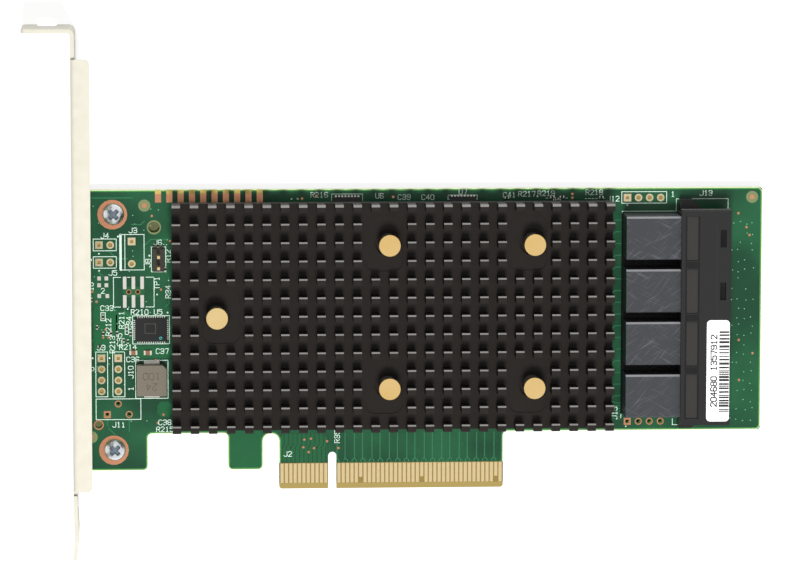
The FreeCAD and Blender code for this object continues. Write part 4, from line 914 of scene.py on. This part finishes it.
# Small parts of the left strip and the top edge: terminals as fine rows, and a few more chips
small = {
    "leadLength": 0.42, "leadWidth": 0.24, "leadTop": 0.14,
    "package": (14.0, 34.3, 21.2, 39.6), "leadsAlong": 13, "leadsUp": 10,
    "switchPads": [(5.87, 48.75), (7.51, 48.75), (5.87, 47.2), (7.51, 47.2), (5.87, 44.74), (7.7, 44.73)],
    "flashLefts": (59.2, 85.6),
    "chip": (1.0, 0.5, 0.35, 0.25),    # length, width, height and end cap
    "chips": [
        (6.7, 40.0, True), (12.1, 37.1, True), (12.9, 36.0, True), (6.7, 36.1, True), (5.9, 33.2, False),
        (12.3, 34.3, True), (5.3, 37.6, True), (109.0, 66.9, False), (111.2, 66.9, False), (4.1, 43.9, True),
        (98.6, 66.75, False), (120.2, 66.8, False), (20.9, 50.8, True),
    ],
    "inductorTop": 3.0, "packageTop": 0.85, "mark": 0.012,
}


def addChip(bodies, caps, x, y, turned):
    length, width, height, cap = small["chip"]
    end, half = length / 2, width / 2
    for bm, start, stop, top in (
        (bodies, cap - end, end - cap, height), (caps, -end, cap - end, height + 0.01),
        (caps, end - cap, end, height + 0.01),
    ):
        box = (-half, start, half, stop) if turned else (start, -half, stop, half)
        addBlock(bm, x + box[0], y + box[1], x + box[2], y + box[3], 0.0, top, rim=0.03)


def makeSmallParts():
    leads, bodies, caps, marks, teal = newMeshes(5)
    reach, half, top = small["leadLength"], small["leadWidth"] / 2, small["leadTop"]
    left, low, right, high = small["package"]
    for index in range(small["leadsAlong"]):
        x = left + 0.55 + index * (right - left - 1.1) / (small["leadsAlong"] - 1)
        addBlock(leads, x - half, high - 0.05, x + half, high + reach, 0.0, top)
        addBlock(leads, x - half, low - reach, x + half, low + 0.05, 0.0, top)
    for index in range(small["leadsUp"]):
        y = low + 0.5 + index * (high - low - 1.0) / (small["leadsUp"] - 1)
        addBlock(leads, left - reach, y - half, left + 0.05, y + half, 0.0, top)
        addBlock(leads, right - 0.05, y - half, right + reach * 0.8, y + half, 0.0, top)
    for x, y in small["switchPads"]:
        addBlock(leads, x - 0.41, y - 0.45, x + 0.41, y + 0.45, 0.0, 0.06)
    # flash chips peep out above the heat sink with one row of leads each
    for chipLeft in small["flashLefts"]:
        for index in range(8):
            x = chipLeft + 0.45 + index * 0.73
            addBlock(leads, x - 0.2, 66.9, x + 0.2, 67.45, 0.0, 0.35)
    for x, y, turned in small["chips"]:
        addChip(bodies, caps, x, y, turned)
    for index in range(4):
        x = 109.3 + index * 0.5
        addBlock(leads, x - 0.12, 66.1, x + 0.12, 66.4, 0.0, 0.2)
    # faint marks on top of the chip and the inductor: plain numbers only
    level, thick = small["inductorTop"], small["mark"]
    addText(marks, "100", 17.65, 26.6, 180, level, level + thick, 1.5, 0.16)
    addText(marks, "24", 17.65, 24.2, 180, level, level + thick, 1.5, 0.16)
    level = small["packageTop"]
    addOutline(marks, 16.2, 36.2, 18.6, 38.4, 0.1, level, level + 0.008)
    addRing(teal, 19.75, 35.1, 0.18, 0.34, level, level + thick, sides=16)
    makePiece("terminalRows", leads, solder)
    makePiece("tinyChips", bodies, mouldedEpoxy)
    makePiece("tinyChipCaps", caps, solder)
    makePiece("partMarks", marks, laserMark)
    makePiece("pinOneDot", teal, tealInk)


makeSmallParts()


# Connector: blocks with a painted highlight on their top edges, painted shade in the gaps between them, lines
# of the roof
ports = {
    "centres": [22.09, 34.13, 46.17, 58.21], "back": 137.6, "top": 9.8,
    "blockBack": 125.2, "blockWidth": 9.8, "blockTop": 8.5, "bevel": 0.42,
    "portWidth": 9.9, "portBottom": 1.5, "roof": 1.3, "nose": 5.4, "gap": 0.05,
    "slotWidth": 8.2, "slotHeight": 0.95, "slotDepth": 4.6, "slotPitch": 2.9,
    "contacts": 9, "contactPitch": 0.85, "contactWidth": 0.36, "contactDepth": 0.15,
    "roofLines": [(138.45, 138.75), (141.5, 141.72)], "panel": (138.85, 141.4), "panelWidth": 9.9, "split": 1.5,
}


def makeBlock(number, y):
    bm = bmesh.new()
    left, right, half = ports["blockBack"], ports["back"], ports["blockWidth"] / 2
    top, bevel = ports["blockTop"], ports["bevel"]
    section = [
        (y - half, 0.0), (y + half, 0.0), (y + half, top - bevel * 0.8), (y + half - bevel, top),
        (y - half + 0.2, top), (y - half, top - 0.2),
    ]
    rings = [[bm.verts.new((x, along, z)) for along, z in section] for x in (left, right)]
    bridgeRings(bm, rings)[2].material_index = 1    # the top bevel, coloured lighter as a painted highlight
    # the nose in the port: slabs that leave two slots for the plug's tongues
    low, high = ports["portBottom"] + ports["gap"], ports["top"] - ports["roof"] - ports["gap"]
    side = ports["portWidth"] / 2 - ports["gap"]
    middle, slot = (low + high) / 2, ports["slotHeight"] / 2
    levels = [middle - ports["slotPitch"] / 2, middle + ports["slotPitch"] / 2]
    front = right + ports["nose"]
    deep = front - ports["slotDepth"]
    addBlock(bm, right - 0.1, y - side, deep, y + side, low, high)
    slabs = ((low, levels[0] - slot), (levels[0] + slot, levels[1] - slot), (levels[1] + slot, high))
    for bottom, lid in slabs:
        addBlock(bm, deep, y - side, front, y + side, bottom, lid)
    for end in (-1, 1):
        wall = sorted((y + end * side, y + end * ports["slotWidth"] / 2))
        for level in levels:
            addBlock(bm, deep, wall[0], front, wall[1], level - slot, level + slot)
    piece = makePiece("terminalBlock%d" % number, bm, blockPlastic, second=paintedGlintPlastic)
    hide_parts("terminal_block_%d" % number)


def makePortContacts():
    bm = bmesh.new()
    front, half = ports["back"] + ports["nose"], ports["contactWidth"] / 2
    middle = (ports["portBottom"] + ports["top"] - ports["roof"]) / 2
    for y in ports["centres"]:
        for level in (middle - ports["slotPitch"] / 2, middle + ports["slotPitch"] / 2):
            for index in range(ports["contacts"]):
                along = y + (index - 4) * ports["contactPitch"]
                for side in (-1, 1):
                    outer = level + side * ports["slotHeight"] / 2
                    inner = outer - side * ports["contactDepth"]
                    addBlock(bm, front - ports["slotDepth"], along - half, front - 0.3, along + half,
                             min(outer, inner), max(outer, inner))
    piece = makePiece("portContactRows", bm, hardGold)
    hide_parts("port_contacts")


def makeHousingDetail():
    dark, light = newMeshes(2)
    centres, top, half = ports["centres"], ports["top"], ports["blockWidth"] / 2
    # painted shade: dark slabs fill the gaps between the blocks, and a dark strip runs along the blocks' back
    for lower, upper in zip(centres, centres[1:]):
        addBlock(dark, 125.0, lower + half + 0.02, 137.7, upper - half - 0.02, 0.0, 1.1)
    addBlock(dark, 124.9, centres[0] - half - 0.3, 125.25, centres[-1] + half, 0.0, 0.9)
    # moulded lines of the roof: painted shade along the panel sides and the split between ports, and a painted
    # highlight on a step along the front
    lines, panel, panelHalf = ports["roofLines"], ports["panel"], ports["panelWidth"] / 2
    for y in centres:
        for left, right in lines:
            addBlock(dark, left, y - panelHalf - 0.2, right, y + panelHalf + 0.2, top - 0.3, top + 0.004)
        addBlock(light, panel[0], y - panelHalf, panel[1], y + panelHalf, top - 0.4, top - 0.37)
    for lower, upper in zip(centres, centres[1:]):
        y, split = (lower + upper) / 2, ports["split"] / 2
        addBlock(dark, lines[0][0], y - split, lines[1][1], y + split, top - 0.1, top + 0.003)
    addBlock(light, 145.6, 40.0, 145.7, 61.0, top, top + 0.02)
    # painted highlight along the roof's lit top edge
    addBlock(light, 137.9, 64.45, 148.7, 64.62, top, top + 0.015)
    makePiece("housingShadowLines", dark, paintedShadePlastic)
    makePiece("housingPanelsAndHighlights", light, panelAndHighlightPlastic)


for number, centre in enumerate(ports["centres"], 1):
    makeBlock(number, centre)
makePortContacts()
makeHousingDetail()
print("connector")


# Label on the housing: plain bars and plain digits
label = {
    "barLeft": 146.3, "barRight": 148.58, "bottom": 18.6, "top": 37.4, "level": 9.9, "ink": 0.01,
    "bars": (0.14, 0.28, 0.28, 0.42, 0.42, 0.56), "gaps": (0.14, 0.14, 0.28, 0.42),
    "digits": "204680 1357912", "digitsAt": (145.1, 28.0), "digitHeight": 1.3, "digitLine": 0.27,
}


def makeLabelPrint():
    bm = bmesh.new()
    chance = random.Random(3)
    y, bottom, top = label["bottom"], label["level"], label["level"] + label["ink"]
    while y < label["top"]:
        bar = chance.choice(label["bars"])
        addBlock(bm, label["barLeft"], y, label["barRight"], y + bar, bottom, top)
        y += bar + chance.choice(label["gaps"])
    addText(bm, label["digits"], *label["digitsAt"], 90, bottom, top, label["digitHeight"], label["digitLine"])
    makePiece("labelPrint", bm, labelInk)


makeLabelPrint()
print("label")


# Solder side: tails of the connector and headers, and decoupling capacitors under the controller
solderSide = {
    "level": -1.57, "firstRow": 128.0, "rowPitch": 2.6, "header": [(19.38, 54.32), (19.38, 51.78)],
    "capacitorsAt": (81.5, 34.7), "capacitorPitch": 2.5, "capacitorHeight": 0.45,
}


def makeSolderSide():
    joints, bodies, caps = newMeshes(3)
    level, root = solderSide["level"], solderSide["level"] + 0.01
    for y in ports["centres"]:
        for row in range(2):
            for index in range(ports["contacts"]):
                x = solderSide["firstRow"] + row * solderSide["rowPitch"]
                along = y + (index - 4) * ports["contactPitch"]
                addTurned(joints, x, along, [(0.12, level - 0.75), (0.3, level - 0.25), (0.36, root)], sides=10)
    for x, y in solderSide["header"]:
        addTurned(joints, x, y, [(0.3, level - 1.1), (0.5, level - 0.6), (0.75, root)], sides=14)
    (left, low), pitch = solderSide["capacitorsAt"], solderSide["capacitorPitch"]
    under = level - solderSide["capacitorHeight"]
    for row in range(6):
        for column in range(6):
            x, y = left + column * pitch, low + row * pitch
            for target, start, end in ((bodies, -0.3, 0.3), (caps, -0.5, -0.28), (caps, 0.28, 0.5)):
                addBlock(target, x + start, y - 0.25, x + end, y + 0.25, under, root)
    makePiece("solderJoints", joints, solder, smooth=True)
    makePiece("backCapacitors", bodies, ceramicBrown)
    makePiece("backCapacitorCaps", caps, solder)


makeSolderSide()
print("solder side")


# Floor, light and camera
studio = {
    "floorSize": 3.0, "floorDrop": 0.05, "floorGrey": 0.35, "floorLift": 0.8, "ambient": 0.3, "reflected": 0.85,
    # lamps: name, place, size and power; both point at a place near the board's middle
    "lamps": [
        ("keySoftbox", (0.065, -0.24, 0.97), (0.2, 0.18), 13.5),
        ("farStrip", (0.075, 1.1, 0.35), (1.0, 0.3), 5.0),
    ],
    "lampTarget": (0.075, 0.045, 0.0),
    "target": (74.28, 45.48, 0.0), "distance": 1000.0, "tilt": 7.02, "yaw": -3.13, "roll": 0.048,
    "focalPixels": 4387.2, "imageWidth": 800, "sensor": 36.0,
}


def makeFloor():
    bm = bmesh.new()
    half = studio["floorSize"] / 2
    level = cadBox[0][2] - studio["floorDrop"] * mm
    bm.faces.new(loopAt(bm, ((-half, -half), (half, -half), (half, half), (-half, half)), level))
    mesh = bpy.data.meshes.new("floor")
    bm.to_mesh(mesh)
    bm.free()
    floor = bpy.data.objects.new("floor", mesh)
    scene.collection.objects.link(floor)
    # pale paper, lifted to white for the camera so that only the object's shadow is grey
    material, tree, shader, place = newMaterial("whitePaper", 0.0, 0.9)
    shader.inputs["Base Color"].default_value = (*[studio["floorGrey"]] * 3, 1.0)
    shader.inputs["Emission Color"].default_value = (1.0, 1.0, 1.0, 1.0)
    rays = addNode(tree, "ShaderNodeLightPath").outputs
    seen = compute(tree, "MAXIMUM", rays["Is Camera Ray"], rays["Is Transmission Ray"])
    seen = compute(tree, "MAXIMUM", seen, rays["Is Glossy Ray"])
    lift = compute(tree, "MULTIPLY", seen, studio["floorLift"])
    tree.links.new(lift, shader.inputs["Emission Strength"])
    mesh.materials.append(material)


def makeWorld():
    world = bpy.data.worlds.new("studio")
    world.use_nodes = True
    tree = world.node_tree
    background = tree.nodes["Background"]
    background.inputs["Color"].default_value = (1.0, 1.0, 1.0, 1.0)
    rays = addNode(tree, "ShaderNodeLightPath").outputs
    # mirrored in metal the surround is nearly white; it lights the object much less
    glossy = remap(tree, rays["Is Glossy Ray"], 0.0, 1.0, studio["ambient"], studio["reflected"])
    seen = compute(tree, "MAXIMUM", rays["Is Camera Ray"], rays["Is Transmission Ray"])
    tree.links.new(compute(tree, "MAXIMUM", glossy, seen), background.inputs["Strength"])
    scene.world = world


def addSoftbox(name, place, size, power):
    light = bpy.data.lights.new(name, "AREA")
    light.shape = "RECTANGLE"
    light.size, light.size_y = size
    light.energy = power
    holder = bpy.data.objects.new(name, light)
    holder.location = place
    holder.rotation_euler = (Vector(studio["lampTarget"]) - Vector(place)).to_track_quat("-Z", "Y").to_euler()
    holder.visible_glossy = False    # metal mirrors the even surround only
    scene.collection.objects.link(holder)


def makeCamera():
    tilt, yaw, roll = (math.radians(studio[name]) for name in ("tilt", "yaw", "roll"))
    outward = Vector((math.sin(yaw) * math.cos(tilt), math.sin(tilt), math.cos(yaw) * math.cos(tilt)))
    right = Vector((0, 1, 0)).cross(outward).normalized()
    upward = outward.cross(right)
    lens = bpy.data.cameras.new("camera")
    lens.sensor_width = studio["sensor"]
    lens.lens = studio["focalPixels"] / studio["imageWidth"] * studio["sensor"]
    lens.clip_start = 0.05
    camera = bpy.data.objects.new("camera", lens)
    place = (Vector(studio["target"]) + outward * studio["distance"]) * mm
    axes = Matrix((right, upward, outward)).transposed().to_4x4()
    camera.matrix_world = Matrix.Translation(place) @ axes @ Matrix.Rotation(roll, 4, "Z")
    scene.collection.objects.link(camera)
    scene.camera = camera


makeFloor()
makeWorld()
for lamp in studio["lamps"]:
    addSoftbox(*lamp)
makeCamera()
scene.view_settings.view_transform = "Standard"
print("floor, light and camera")
